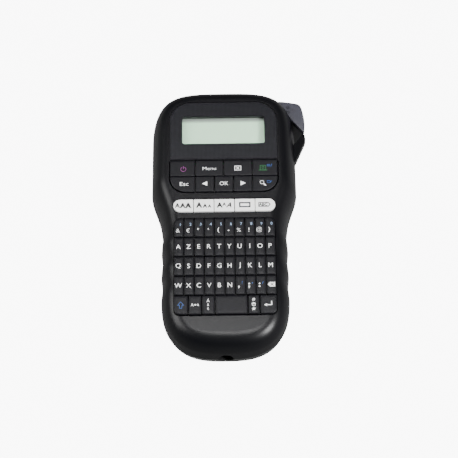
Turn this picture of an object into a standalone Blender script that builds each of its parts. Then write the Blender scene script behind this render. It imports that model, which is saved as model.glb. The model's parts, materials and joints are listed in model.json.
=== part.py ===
"""A hand-held label maker: two casing halves, a keyboard, a display, a tape bay with its print
mechanism, a battery bay and a cutter worked by a thumb lever.

Run with: blender --background --python part.py
Sizes below are in millimetres and the helpers turn them into metres. +X is the user's right,
+Y points to the display end and +Z out of the keyboard. The origin is on the flat back, on the
casing's own centre line.
"""

import math

import bmesh
import bpy
from mathutils import Matrix, Vector

MM = 0.001
GAP = 0.3              # air kept between neighbouring pieces
RUNNING_GAP = 0.3      # air round a shaft in its hole

# ---- the keyboard face, measured along the face from the display end down ----
FACE_SLOPE = math.radians(5.0)
FACE_HEIGHT_MID = 50.4          # height of the face above the back, on the line y = 0
PANEL_TOP = 82.4
PANEL_HALF_WIDTH = 37.5
PANEL_HEIGHT = 45.3
PANEL_CORNER = 15.0
PANEL_THICKNESS = 1.2
WINDOW_HALF_WIDTH = 28.7
WINDOW_HEIGHT = 21.5
WINDOW_BELOW_PANEL_TOP = 11.4
WINDOW_CORNER = 1.5
PANEL_TO_FUNCTION = 1.2
FUNCTION_HEIGHT = 24.8
FUNCTION_CORNER = 11.0
FUNCTION_TO_STYLE = 5.2
STYLE_HALF_WIDTH = 35.2
STYLE_HEIGHT = 9.9
STYLE_TO_KEYPAD = 4.9
COLUMN_PITCH = 6.88
ROW_PITCH = 14.3
KEYPAD_CORNER = 4.0
KEY_GAP = 0.5
KEY_TRAVEL = 1.0
FACE_THICKNESS = 3.0

# ---- the casing ----
TOP_MARGIN = 15.4               # from the display panel to the end of the casing
PALM_LENGTH = 23.3              # from the keyboard to the end of the casing
SHOULDER_HALF_WIDTH = 50.8
GRIP_HALF_WIDTH = 43.6
SHOULDER_START = -8.0
SHOULDER_END = 24.0
TOP_ROUND_DEPTH = 45.0
TOP_ROUND_POWER = 3.5
TOP_ROLL = 0.1                  # how much more the display end rolls over than the sides
BOTTOM_ROUND_DEPTH = 48.5
BOTTOM_ROUND_POWER = 2.8
PARTING_HEIGHT = 25.5
FACE_EDGE_INSET = 12.5
FACE_EDGE_POWER = 2.3
BACK_EDGE_INSET = 5.0
BACK_EDGE_POWER = 2.4
BACK_DRAFT = 2.0
GRIP_DRAFT = 6.5                # how much further in the grip's end leans towards the back
WALL = 2.2
SCALLOP_DEPTH = 0.8
SCALLOP_PITCH = 19.0
SCALLOP_FIRST = -14.0
SCALLOPS = 3
OUTLINE_STEPS = 9               # steps round each quarter of the outline's ends

# ---- battery bay ----
CELL_RADIUS = 5.25
CELL_LENGTH = 43.5
NUB_LENGTH = 1.0
CELLS = 6
CELL_PITCH = 10.8
SPRING_LENGTH = 2.6
CONTACT_THICKNESS = 0.4
BAY_FLOOR = 2.3                 # top of the rear cover
BACK_THICKNESS = BAY_FLOOR + 2.1
BATTERY_BAY_END = 33.0          # from the grip's end to the bay

# ---- tape bay, cutter and drive, set out from the right-hand side ----
CASSETTE_LENGTH = 79.0
CASSETTE_DEPTH = 50.0
CASSETTE_THICKNESS = 17.5
TAPE_LINE = 70.0                # y of the tape where it leaves
BAY_HEIGHT = 21.0
BAY_ROOF = 2.0
BAY_CORNER = 4.5                # cut off the tape bay where the casing rounds away
CUT_FROM_SIDE = 4.3
HEAD_TO_CUTTER = 26.0
LEVER_REACH = 15.5              # from the lever's pin to the blade
LEVER_TURN = 16.0
BLADE_THICKNESS = 0.6
GEAR_MODULE = 0.8
PINION_TEETH = 12
REDUCTION_TEETH = 26
REDUCTION_PINION_TEETH = 12
PLATEN_TEETH = 18
TAKEUP_TEETH = 16
GEAR_THICKNESS = 2.0
PLATEN_RADIUS = 4.0

# ---- worked out from the sizes above ----
PANEL_BOTTOM = PANEL_TOP - PANEL_HEIGHT
WINDOW_TOP = PANEL_TOP - WINDOW_BELOW_PANEL_TOP
WINDOW_BOTTOM = WINDOW_TOP - WINDOW_HEIGHT
FUNCTION_TOP = PANEL_BOTTOM - PANEL_TO_FUNCTION
FUNCTION_BOTTOM = FUNCTION_TOP - FUNCTION_HEIGHT
STYLE_TOP = FUNCTION_BOTTOM - FUNCTION_TO_STYLE
STYLE_BOTTOM = STYLE_TOP - STYLE_HEIGHT
KEYPAD_TOP = STYLE_BOTTOM - STYLE_TO_KEYPAD
KEYPAD_BOTTOM = KEYPAD_TOP - 5 * ROW_PITCH
KEYPAD_HALF_WIDTH = 5 * COLUMN_PITCH
CASE_TOP = PANEL_TOP + TOP_MARGIN
CASE_BOTTOM = KEYPAD_BOTTOM - PALM_LENGTH
CUT_X = SHOULDER_HALF_WIDTH - CUT_FROM_SIDE
BAY_RIGHT = CUT_X - 7.0
PLATEN_X = CUT_X - HEAD_TO_CUTTER
LEVER_PIN = (CUT_X - LEVER_REACH, TAPE_LINE + 0.5)
PLATEN = (PLATEN_X, TAPE_LINE + GAP + PLATEN_RADIUS)
DRIVE_AXLE = (PLATEN_X, PLATEN[1] - GEAR_MODULE * (REDUCTION_PINION_TEETH + PLATEN_TEETH) / 2)
MOTOR = (DRIVE_AXLE[0] - GEAR_MODULE * (PINION_TEETH + REDUCTION_TEETH) / 2, DRIVE_AXLE[1])
TAKEUP_ANGLE = math.radians(250.0)
TAKEUP_REACH = GEAR_MODULE * (REDUCTION_PINION_TEETH + TAKEUP_TEETH) / 2
TAKEUP = (
    DRIVE_AXLE[0] + TAKEUP_REACH * math.cos(TAKEUP_ANGLE),
    DRIVE_AXLE[1] + TAKEUP_REACH * math.sin(TAKEUP_ANGLE),
)
ROLLER_PIVOT = (BAY_RIGHT - 3.5, TAPE_LINE + 6.0)
CASSETTE_RIGHT = BAY_RIGHT - 1.5
CASSETTE_LEFT = CASSETTE_RIGHT - CASSETTE_LENGTH
CASSETTE_BOTTOM = TAPE_LINE - CASSETTE_DEPTH
CASSETTE_LOW = BAY_FLOOR + 0.9
CASSETTE_HIGH = CASSETTE_LOW + CASSETTE_THICKNESS
CHASSIS_LOW = BAY_HEIGHT + BAY_ROOF + 0.4
CHASSIS_HIGH = CHASSIS_LOW + 1.0
GEAR_LOW = CHASSIS_HIGH + 0.5
GEAR_HIGH = GEAR_LOW + GEAR_THICKNESS + 0.4
SHELF_LOW = GEAR_HIGH + GEAR_THICKNESS + 0.4
SHELF_HIGH = SHELF_LOW + 1.0
ARM_LOW = SHELF_HIGH + 0.8
ARM_HIGH = ARM_LOW + 6.0
BATTERY_BAY_LOW_Y = CASE_BOTTOM + BATTERY_BAY_END
BATTERY_BAY_LENGTH = CONTACT_THICKNESS * 2 + SPRING_LENGTH + CELL_LENGTH + NUB_LENGTH + 5 * GAP
BATTERY_BAY_HIGH_Y = BATTERY_BAY_LOW_Y + BATTERY_BAY_LENGTH
BATTERY_BAY_HALF_WIDTH = (CELLS - 1) * CELL_PITCH / 2 + CELL_RADIUS + 0.7
CELL_HEIGHT = BAY_FLOOR + 0.7 + CELL_RADIUS
BATTERY_ROOF_LOW = CELL_HEIGHT + CELL_RADIUS + 0.7
BATTERY_ROOF_HIGH = BATTERY_ROOF_LOW + BAY_ROOF
BOARD_TOP = -7.7                # heights below the face from here on
BOARD_BOTTOM = -9.3
MAT_TOP = -6.2
MAT_BOTTOM = -7.4
KEY_BOTTOM = MAT_TOP + KEY_TRAVEL + 0.4
JACK_HEIGHT = 25.0
JACK_HOLE_RADIUS = 5.1


# ---------------------------------------------------------------- helpers


def clear_scene():
    for thing in list(bpy.data.objects):
        bpy.data.objects.remove(thing)


def material(name, colour, roughness, metallic=0.0):
    made = bpy.data.materials.new(name)
    made.use_nodes = True
    shader = made.node_tree.nodes["Principled BSDF"]
    shader.inputs["Base Color"].default_value = (*colour, 1.0)
    shader.inputs["Roughness"].default_value = roughness
    shader.inputs["Metallic"].default_value = metallic
    return made


def add_object(name, mesh_builder, finish=None, parent=None):
    """Turns a bmesh in millimetres into an object in metres."""
    bmesh.ops.recalc_face_normals(mesh_builder, faces=mesh_builder.faces)
    bmesh.ops.scale(mesh_builder, vec=(MM, MM, MM), verts=mesh_builder.verts)
    mesh = bpy.data.meshes.new(name)
    mesh_builder.to_mesh(mesh)
    mesh_builder.free()
    made = bpy.data.objects.new(name, mesh)
    bpy.context.scene.collection.objects.link(made)
    if finish is not None:
        mesh.materials.append(finish)
    if parent is not None:
        made.parent = parent
    return made


def helper(thing):
    """Marks a cutter or a shape to be joined, which isn't a piece by itself."""
    thing.hide_render = True
    thing.display_type = "WIRE"
    return thing


def boolean(target, tool, operation):
    step = target.modifiers.new(f"{operation} {tool.name}".lower(), "BOOLEAN")
    step.operation = operation
    step.solver = "EXACT"
    step.object = helper(tool)
    return target


def cut(target, *tools):
    for tool in tools:
        boolean(target, tool, "DIFFERENCE")
    return target


def join(target, *tools):
    for tool in tools:
        boolean(target, tool, "UNION")
    return target


def stack(rings, closed_top=True, closed_bottom=True):
    """A solid lofted through rings of the same number of points, lowest first."""
    builder = bmesh.new()
    loops = [[builder.verts.new(p) for p in ring] for ring in rings]
    count = len(loops[0])
    for low, high in zip(loops, loops[1:]):
        for i in range(count):
            j = (i + 1) % count
            builder.faces.new((low[i], low[j], high[j], high[i]))
    if closed_bottom:
        builder.faces.new(list(reversed(loops[0])))
    if closed_top:
        builder.faces.new(loops[-1])
    return builder


def prism(name, outline, low, high, finish=None, parent=None):
    rings = [[(x, y, height) for x, y in outline] for height in (low, high)]
    return add_object(name, stack(rings), finish, parent)


def box(name, x, y, z, finish=None, parent=None):
    outline = [(x[0], y[0]), (x[1], y[0]), (x[1], y[1]), (x[0], y[1])]
    return prism(name, outline, z[0], z[1], finish, parent)


def circle(centre, radius, sides=16, turned=0.0):
    return [
        (
            centre[0] + radius * math.cos(turned + 2 * math.pi * i / sides),
            centre[1] + radius * math.sin(turned + 2 * math.pi * i / sides),
        )
        for i in range(sides)
    ]


def cylinder(name, centre, radius, low, high, finish=None, parent=None, sides=16):
    return prism(name, circle(centre, radius, sides), low, high, finish, parent)


def turned(name, centre, profile, finish=None, parent=None, sides=16):
    """A solid of rings: profile is (radius, height) from the lowest up."""
    rings = [[(x, y, z) for x, y in circle(centre, r, sides)] for r, z in profile]
    return add_object(name, stack(rings), finish, parent)


def rounded(x, y, radii, steps=4):
    """A rectangle with a radius for each corner, from low x and low y, counter-clockwise."""
    corners = ((x[0], y[0], 180), (x[1], y[0], 270), (x[1], y[1], 0), (x[0], y[1], 90))
    points = []
    for (cx, cy, start), radius in zip(corners, radii):
        if radius <= 0:
            points.append((cx, cy))
            continue
        inward_x = radius if cx == x[0] else -radius
        inward_y = radius if cy == y[0] else -radius
        for i in range(steps + 1):
            a = math.radians(start + 90 * i / steps)
            points.append((cx + inward_x + radius * math.cos(a), cy + inward_y + radius * math.sin(a)))
    return points


def turns_about(thing, x, y, z=0.0):
    """Puts a piece's origin on the axis it turns about or slides along, leaving it where it is."""
    at = Vector((x, y, z)) * MM
    thing.data.transform(Matrix.Translation(-at))
    thing.location = at
    return thing


# ---------------------------------------------------------------- the casing's outline


def half_width(y):
    """Half the casing's width where nothing rounds it, from the grip to the shoulder."""
    t = min(1.0, max(0.0, (y - SHOULDER_START) / (SHOULDER_END - SHOULDER_START)))
    return GRIP_HALF_WIDTH + (SHOULDER_HALF_WIDTH - GRIP_HALF_WIDTH) * t * t * (3 - 2 * t)


def scallop(y):
    """How far the finger grips dip into the side at this height up the grip."""
    last = SCALLOP_FIRST - (SCALLOPS - 1) * SCALLOP_PITCH
    if not last - SCALLOP_PITCH / 2 < y < SCALLOP_FIRST + SCALLOP_PITCH / 2:
        return 0.0
    return SCALLOP_DEPTH * math.cos(math.pi * (y - SCALLOP_FIRST) / SCALLOP_PITCH) ** 2


def end_arc(start, depth, power, up):
    """A quarter of a rounded end, from its start on the side to the centre line."""
    points = []
    for i in range(OUTLINE_STEPS + 1):
        a = math.pi / 2 * i / OUTLINE_STEPS
        y = start + up * depth * math.sin(a) ** (2 / power)
        points.append((half_width(y) * max(0.0, math.cos(a)) ** (2 / power), y))
    points[-1] = (0.0, start + up * depth)
    return points


def right_side():
    """The outline's right half from the grip's end on the centre line to the display end."""
    low = end_arc(CASE_BOTTOM + BOTTOM_ROUND_DEPTH, BOTTOM_ROUND_DEPTH, BOTTOM_ROUND_POWER, -1.0)
    high = end_arc(CASE_TOP - TOP_ROUND_DEPTH, TOP_ROUND_DEPTH, TOP_ROUND_POWER, 1.0)
    first = SCALLOP_FIRST - SCALLOP_PITCH * (SCALLOPS - 1)
    grip = [first + SCALLOP_PITCH / 4 * i for i in range(4 * (SCALLOPS - 1) + 3)]
    shoulder = [SHOULDER_START + (SHOULDER_END - SHOULDER_START) * i / 5 for i in range(1, 6)]
    middle = [(half_width(y), y) for y in grip + shoulder if low[0][1] < y < high[0][1]]
    points = list(reversed(low)) + middle + high
    return [(x - scallop(y) * min(1.0, x / half_width(y)), y) for x, y in points]


def outline(inset=0.0, grip_draft=0.0):
    """The casing seen from the front, drawn in by inset all round and by more at the grip's end."""
    right = right_side()
    loop = right + [(-x, y) for x, y in reversed(right[1:-1])]
    count = len(loop)
    drawn = []
    for i, (x, y) in enumerate(loop):
        before, after = loop[i - 1], loop[(i + 1) % count]
        along = Vector((after[0] - before[0], after[1] - before[1])).normalized()
        # Counter-clockwise round the casing, so -along.x is how much this spot faces the display end.
        reach = inset * (1 + TOP_ROLL * max(0.0, -along.x)) + grip_draft * max(0.0, along.x)
        drawn.append((x - along.y * reach, y + along.x * reach))
    return drawn


def face_height(y):
    return FACE_HEIGHT_MID + math.tan(FACE_SLOPE) * y


def front_ring(share, wall=0.0):
    """A ring of the front casing, share of the way from the parting line to the face."""
    inset = FACE_EDGE_INSET * (1 - (1 - share**FACE_EDGE_POWER) ** (1 / FACE_EDGE_POWER))
    inner = FACE_THICKNESS if wall else 0.0
    ring = []
    for x, y in outline(inset + wall):
        top = face_height(y) - inner
        ring.append((x, y, PARTING_HEIGHT + share * (top - PARTING_HEIGHT)))
    return ring


def rear_ring(share, wall=0.0, floor=0.0):
    """A ring of the rear casing, share of the way from the parting line to the back."""
    rounding = 1 - (1 - share**BACK_EDGE_POWER) ** (1 / BACK_EDGE_POWER)
    inset = BACK_EDGE_INSET * rounding + BACK_DRAFT * share
    height = floor + (PARTING_HEIGHT - GAP / 2 - floor) * (1 - share)
    return [(x, y, height) for x, y in outline(inset + wall, GRIP_DRAFT * share)]


def shell(name, outer, inner, finish):
    """A cup: outer rings and inner rings that start at the same rim."""
    builder = bmesh.new()
    outside = [[builder.verts.new(p) for p in ring] for ring in outer]
    inside = [[builder.verts.new(p) for p in ring] for ring in inner]
    count = len(outside[0])
    for rings in (outside, inside, (outside[0], inside[0])):
        for a, b in zip(rings, rings[1:]):
            for i in range(count):
                j = (i + 1) % count
                builder.faces.new((a[i], a[j], b[j], b[i]))
    builder.faces.new(outside[-1])
    builder.faces.new(inside[-1])
    return add_object(name, builder, finish)


# ---------------------------------------------------------------- casing halves


GUIDE_TOP = 40.0
GUIDE_LOW = GUIDE_TOP - 6.0
LEVER_TOP = 45.0
LEVER_LOW = 12.0
LEVER_PLATE_LOW = GUIDE_TOP + 1.0
WINDOW_SILL_Y = TAPE_LINE - 2.5
LEVER_WINDOW_TOP_Y = 92.4
COVER_TOP = TAPE_LINE + 15.0
COVER_BOTTOM = CASE_BOTTOM + 18.0
SCREW_HEAD_RADIUS = 2.8
SCREW_SHANK_RADIUS = 1.25
SCREW_BOSS_RADIUS = 3.2
SCREW_BOSS_HEIGHT = 11.0        # above the parting line
SCREWS = (
    (-26.0, CASE_TOP - 8.3),
    (18.0, CASE_TOP - 8.3),
    (-30.0, -6.0),
    (30.0, -6.0),
)
STRAP_HOLES = ((23.0, 4.0), (33.4, 5.0))   # x of each hole, and its width


def from_side(*points):
    """Points given as (distance outside the shoulder, y)."""
    return [(SHOULDER_HALF_WIDTH + out, y) for out, y in points]


def guide_outline():
    """The wedge beside the tape's exit, seen from the front."""
    low, tip = TAPE_LINE - 26.0, TAPE_LINE - 8.6
    return from_side(
        (-2.0, low - 3.0), (0.2, low), (7.4, tip), (7.0, tip + 4.4), (5.2, tip + 4.6), (-2.0, tip - 6.0)
    )


def lever_window():
    """The hole in both casing halves that the lever comes out of."""
    outline_points = from_side(
        (-6.3, WINDOW_SILL_Y),
        (12.0, WINDOW_SILL_Y),
        (12.0, LEVER_WINDOW_TOP_Y),
        (-17.8, LEVER_WINDOW_TOP_Y),
        (-6.3, WINDOW_SILL_Y + 11.5),
    )
    return prism("lever window", outline_points, BAY_FLOOR + 1.7, LEVER_TOP + 0.4)


def jack_hole(name):
    """A round hole through the end wall, half in each casing."""
    hole = cylinder(name, (0.0, 0.0), JACK_HOLE_RADIUS, 0.0, 12.0, sides=20)
    hole.rotation_euler = (math.pi / 2, 0.0, 0.0)
    hole.location = (0.0, (CASE_BOTTOM + 7.0) * MM, JACK_HEIGHT * MM)
    return hole


def function_outline(shrink=0.0):
    half, low, high = PANEL_HALF_WIDTH - shrink, FUNCTION_BOTTOM + shrink, FUNCTION_TOP - shrink
    corner = FUNCTION_CORNER - shrink
    return rounded((-half, half), (low, high), (corner, corner, 0.8, 0.8), 6)


def style_outline(shrink=0.0):
    half, low, high = STYLE_HALF_WIDTH - shrink, STYLE_BOTTOM + shrink, STYLE_TOP - shrink
    corner = (high - low) / 2 - 0.05
    return rounded((-half, half), (low, high), (corner,) * 4, 5)


def keypad_outline(shrink=0.0):
    half, low, high = KEYPAD_HALF_WIDTH + 0.2 - shrink, KEYPAD_BOTTOM + shrink, KEYPAD_TOP - shrink
    return rounded((-half, half), (low, high), (KEYPAD_CORNER - shrink,) * 4)


def panel_outline(shrink=0.0):
    half, low, high = PANEL_HALF_WIDTH - shrink, PANEL_BOTTOM + shrink, PANEL_TOP - shrink
    corner = PANEL_CORNER - shrink
    return rounded((-half, half), (low, high), (0.8, 0.8, corner, corner), 6)


def window_outline(grow=0.0):
    x = (-WINDOW_HALF_WIDTH - grow, WINDOW_HALF_WIDTH + grow)
    return rounded(x, (WINDOW_BOTTOM - grow, WINDOW_TOP + grow), (WINDOW_CORNER,) * 4, 3)


def build_front_case(face, finish):
    outer = [front_ring(s) for s in (0.0, 0.3, 0.55, 0.75, 0.88, 0.96, 1.0)]
    inner = [front_ring(s, WALL) for s in (0.0, 0.6, 0.9, 1.0)]
    case = shell("front_case", outer, inner, finish)
    join(case, prism("guide", guide_outline(), GUIDE_LOW, GUIDE_TOP))
    for number, (x, y) in enumerate(SCREWS, 1):
        top = PARTING_HEIGHT + SCREW_BOSS_HEIGHT
        boss = cylinder(
            f"front boss {number}", (x, y), SCREW_BOSS_RADIUS, PARTING_HEIGHT + GAP / 2, top, sides=12
        )
        web_z = (PARTING_HEIGHT + GAP / 2, top - 1.0)
        if y < SHOULDER_END:
            reach = sorted((x, math.copysign(half_width(y) - 1.0, x)))
            join(boss, box(f"front boss web {number}", reach, (y - 1.0, y + 1.0), web_z))
        else:
            join(boss, box(f"front boss web {number}", (x - 1.0, x + 1.0), (y, CASE_TOP - 2.8), web_z))
        join(case, boss)
        cut(
            case,
            cylinder(
                f"front pilot {number}",
                (x, y),
                SCREW_SHANK_RADIUS + GAP,
                0.0,
                PARTING_HEIGHT + 8.0,
                sides=12,
            ),
        )
    deep, proud = -2 * FACE_THICKNESS, 4.0
    cut(
        case,
        prism("panel pocket", panel_outline(-GAP), -PANEL_THICKNESS - GAP, proud, parent=face),
        prism("window hole", window_outline(GAP), deep, proud, parent=face),
        prism("function hole", function_outline(), deep, proud, parent=face),
        prism("style hole", style_outline(), deep, proud, parent=face),
        prism("keypad hole", keypad_outline(), deep, proud, parent=face),
        lever_window(),
        jack_hole("front jack hole"),
    )
    return case


def strap_hole(number, x, width):
    """A small slot in the end wall, square to it, just under the parting line."""
    right = [p for p in right_side() if p[1] < CASE_BOTTOM + BOTTOM_ROUND_DEPTH]
    y = next(b[1] for a, b in zip(right, right[1:]) if a[0] <= x <= b[0])
    hole = box(f"strap hole {number}", (-width / 2, width / 2), (-5.0, 4.5), (-1.6, 1.6))
    hole.rotation_euler = (0.0, 0.0, math.atan2(y - CASE_BOTTOM + 9.0, x) * 1.1)
    hole.location = (x * MM, y * MM, (PARTING_HEIGHT - 4.2) * MM)
    return hole


def cover_outline(grow=0.0):
    """The rear cover, which follows the back's own outline and stops short of the screws at the top."""
    inset = BACK_EDGE_INSET + BACK_DRAFT + 1.2 - grow
    ends = (COVER_BOTTOM - grow, COVER_TOP + grow)
    ring = outline(inset, GRIP_DRAFT)
    points = []
    for here, onward in zip(ring, ring[1:] + ring[:1]):
        if ends[0] + GAP < here[1] < ends[1] - GAP:
            points.append(here)
        for end in ends:
            if (here[1] - end) * (onward[1] - end) < 0:
                share = (end - here[1]) / (onward[1] - here[1])
                points.append((here[0] + share * (onward[0] - here[0]), end))
    return points


def cassette_bay_outline():
    left, low = CASSETTE_LEFT - 1.0, CASSETTE_BOTTOM - 1.5
    step_y, top = TAPE_LINE + 1.5, TAPE_LINE + 14.0
    alcove = PLATEN_X - 12.0
    corner = BAY_CORNER
    return [
        (left, low),
        (BAY_RIGHT, low),
        (BAY_RIGHT, top - corner),
        (BAY_RIGHT - corner, top),
        (alcove, top),
        (alcove, step_y),
        (left, step_y),
    ]


def grown(points, by):
    """An outline with every side moved outwards by the same amount."""
    count, moved = len(points), []
    for i, (x, y) in enumerate(points):
        before, after = points[i - 1], points[(i + 1) % count]
        first = Vector((x - before[0], y - before[1])).normalized()
        second = Vector((after[0] - x, after[1] - y)).normalized()
        reach = by / (1 + first.dot(second))
        moved.append((x + (first.y + second.y) * reach, y - (first.x + second.x) * reach))
    return moved


def build_rear_case(finish):
    outer = [rear_ring(s) for s in (0.0, 0.5, 0.75, 0.9, 1.0)]
    inner = [rear_ring(s, WALL, BACK_THICKNESS) for s in (0.0, 0.7, 1.0)]
    case = shell("rear_case", outer, inner, finish)
    bay = cassette_bay_outline()
    battery_x = (-BATTERY_BAY_HALF_WIDTH, BATTERY_BAY_HALF_WIDTH)
    battery_y = (BATTERY_BAY_LOW_Y, BATTERY_BAY_HIGH_Y)
    bridge_y = (BATTERY_BAY_HIGH_Y - 1.0, CASSETTE_BOTTOM)
    bridge_half = BATTERY_BAY_HALF_WIDTH + 1.0
    roof = BAY_HEIGHT + BAY_ROOF
    inside = prism("tape bay block", grown(bay, 2.0), 0.6, roof)
    battery_outline = rounded(
        (battery_x[0] - 1.6, battery_x[1] + 1.6), (battery_y[0] - 1.6, battery_y[1] + 1.6), (0,) * 4
    )
    join(
        inside,
        prism("battery block", battery_outline, 0.6, BATTERY_ROOF_HIGH),
        box("bridge", (-bridge_half, bridge_half), bridge_y, (0.6, BAY_FLOOR + 3.4)),
    )
    for number, (x, y) in enumerate(SCREWS, 1):
        boss = cylinder(
            f"rear boss {number}",
            (x, y),
            SCREW_BOSS_RADIUS + 0.6,
            0.6,
            PARTING_HEIGHT - GAP / 2,
            sides=12,
        )
        join(inside, boss)
    core = add_object("rear core", stack([rear_ring(s, 0.7, 0.7) for s in (1.0, 0.7, 0.3, 0.0)]))
    join(case, boolean(inside, core, "INTERSECT"))
    for number, (x, y) in enumerate(SCREWS, 1):
        cut(
            case,
            cylinder(
                f"rear clearance {number}",
                (x, y),
                SCREW_SHANK_RADIUS + GAP,
                -1.0,
                PARTING_HEIGHT + 1.0,
                sides=12,
            ),
            cylinder(
                f"rear counterbore {number}", (x, y), SCREW_HEAD_RADIUS + GAP, -1.0, 5.2, sides=12
            ),
        )
    cut(
        case,
        prism("tape bay", bay, -1.0, BAY_HEIGHT),
        box("battery bay", battery_x, battery_y, (-1.0, BATTERY_ROOF_LOW)),
        prism("cover seat", cover_outline(GAP), -1.0, BAY_FLOOR + 0.3),
        lever_window(),
        box(
            "tape slot",
            (BAY_RIGHT - 1.0, SHOULDER_HALF_WIDTH + 3.0),
            (TAPE_LINE - 1.4, TAPE_LINE + 1.6),
            (4.5, 20.0),
        ),
        jack_hole("rear jack hole"),
        *(strap_hole(i, x, w) for i, (x, w) in enumerate(STRAP_HOLES, 1)),
        cylinder("platen slot", (PLATEN[0], PLATEN[1] + 1.0), 3.2, 10.0, roof + 1.0, sides=12),
        cylinder("takeup hole", TAKEUP, 2.6, 10.0, roof + 1.0, sides=12),
    )
    join(case, cylinder("roller pivot stud", ROLLER_PIVOT, 1.5, 4.0, BAY_HEIGHT + 1.0, sides=12))
    return case


def build_rear_cover(finish):
    cover = prism("rear_cover", cover_outline(-GAP), 0.0, BAY_FLOOR, finish)
    ribs = [
        box(f"cover rib {i}", (-24.0, 24.0), (y, y + 1.6), (-1.0, 0.35))
        for i, y in enumerate([COVER_TOP - 9.0 + 3.0 * k for k in range(3)], 1)
    ]
    return turns_about(cut(cover, *ribs), 0.0, COVER_BOTTOM + GAP)


def build_screws(finish):
    for number, (x, y) in enumerate(SCREWS, 1):
        profile = [
            (SCREW_HEAD_RADIUS, 3.0),
            (SCREW_HEAD_RADIUS, 4.9),
            (SCREW_SHANK_RADIUS, 4.9),
            (SCREW_SHANK_RADIUS, PARTING_HEIGHT + 7.5),
        ]
        screw = turned(f"case_screw_{number}", (x, y), profile, finish, sides=12)
        for turn, (half_x, half_y) in enumerate(((1.7, 0.4), (0.4, 1.7))):
            cut(
                screw,
                box(
                    f"screw {number} slot {turn}",
                    (x - half_x, x + half_x),
                    (y - half_y, y + half_y),
                    (2.0, 4.0),
                ),
            )


# ---------------------------------------------------------------- display and keyboard


def build_display(face, plastic, clear, green):
    panel = prism("display_panel", panel_outline(), -PANEL_THICKNESS, -0.05, plastic, face)
    cut(panel, prism("panel window", window_outline(), -9.0, 9.0, parent=face))
    lens_top = -FACE_THICKNESS - GAP
    x = (-WINDOW_HALF_WIDTH - 2.5, WINDOW_HALF_WIDTH + 2.5)
    y = (WINDOW_BOTTOM - 2.5, WINDOW_TOP + 2.5)
    box("display_lens", x, y, (lens_top - 0.9, lens_top), clear, face)
    box("lcd_glass", x, y, (lens_top - 3.2, lens_top - 0.9 - GAP), green, face)


def build_key(name, outline_points, top, finish, face):
    """A rubber key: a block whose upper edges are eased."""
    count = len(outline_points)
    centre = Vector(
        (sum(p[0] for p in outline_points) / count, sum(p[1] for p in outline_points) / count)
    )

    def ring(height, ease):
        points = []
        for x, y in outline_points:
            away = Vector((x, y)) - centre
            shift = Vector((math.copysign(ease, away.x), math.copysign(ease, away.y)))
            points.append((x - shift.x, y - shift.y, height))
        return points

    rings = [ring(KEY_BOTTOM, 0.0), ring(top - 0.5, 0.0), ring(top, 0.5)]
    return turns_about(add_object(name, stack(rings), finish, face), centre.x, centre.y)


def cell(x0, x1, y0, y1, radii=(0.6,) * 4):
    """A key's outline in its cell, half a gap in from each side."""
    half = KEY_GAP / 2
    return rounded((x0 + half, x1 - half), (y0 + half, y1 - half), radii, 3)


def build_function_keys(face, finish):
    edge = PANEL_HALF_WIDTH - 0.15
    low, high = FUNCTION_BOTTOM + 0.15, FUNCTION_TOP - 0.15
    middle = (low + high) / 2
    corner = FUNCTION_CORNER - 0.4
    upper = {
        "power_key": (-edge, -19.8),
        "menu_key": (-19.8, -0.2),
        "clear_key": (-0.2, 19.6),
        "print_key": (19.6, edge),
    }
    lower = {
        "escape_key": (-edge, -19.8),
        "left_key": (-19.8, -6.6),
        "ok_key": (-6.6, 6.6),
        "right_key": (6.6, 19.6),
        "search_key": (19.6, edge),
    }
    corners = {"escape_key": (corner, 0.6, 0.6, 0.6), "search_key": (0.6, corner, 0.6, 0.6)}
    for name, (x0, x1) in upper.items():
        build_key(name, cell(x0, x1, middle, high), 0.5, finish, face)
    for name, (x0, x1) in lower.items():
        build_key(name, cell(x0, x1, low, middle, corners.get(name, (0.6,) * 4)), 0.5, finish, face)


def build_style_keys(face, finish):
    names = ("font_key", "size_key", "style_key", "frame_key", "layout_key")
    edge = STYLE_HALF_WIDTH - 0.1
    low, high = STYLE_BOTTOM + 0.1, STYLE_TOP - 0.1
    big = (high - low - KEY_GAP) / 2 - 0.05
    width = 2 * edge / len(names)
    for i, name in enumerate(names):
        left = big if i == 0 else 0.3
        right = big if i == len(names) - 1 else 0.3
        x0 = -edge + i * width
        build_key(name, cell(x0, x0 + width, low, high, (left, right, right, left)), 0.6, finish, face)


def build_letter_rows(face, finish):
    names = ("number_key_row", "upper_letter_row", "middle_letter_row", "lower_letter_row")
    half = KEYPAD_HALF_WIDTH - 0.1
    for row, name in enumerate(names):
        high = KEYPAD_TOP - row * ROW_PITCH - 0.15
        low = high - ROW_PITCH
        strip = box(
            name, (-half, half), (low + 0.15, high - 0.15), (KEY_BOTTOM, KEY_BOTTOM + 1.2), finish, face
        )
        for column in range(10):
            x0 = -KEYPAD_HALF_WIDTH + column * COLUMN_PITCH
            key = build_key(
                f"{name} {column}", cell(x0, x0 + COLUMN_PITCH, low, high, (0,) * 4), 1.2, finish, face
            )
            join(strip, key)
        if row == 0:
            boolean(
                strip, prism("keypad field", keypad_outline(GAP), -9.0, 9.0, parent=face), "INTERSECT"
            )
        turns_about(strip, 0.0, (low + high) / 2)


def build_bottom_row(face, finish):
    names = ("shift_key", "caps_key", "accent_key", "space_key", "symbol_key", "enter_key")
    widths = (9.7, 9.0, 8.7, 21.9, 7.9, 11.5)
    scale = 2 * KEYPAD_HALF_WIDTH / sum(widths)
    high = KEYPAD_TOP - 4 * ROW_PITCH - 0.15
    low = KEYPAD_BOTTOM + 0.15
    corner = KEYPAD_CORNER - 0.4
    x0 = -KEYPAD_HALF_WIDTH
    for name, width in zip(names, widths):
        x1 = x0 + width * scale
        radii = {"shift_key": (corner, 0.6, 0.6, 0.6), "enter_key": (0.6, corner, 0.6, 0.6)}.get(
            name, (0.6,) * 4
        )
        build_key(name, cell(x0, x1, low, high, radii), 1.2, finish, face)
        x0 = x1


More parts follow.
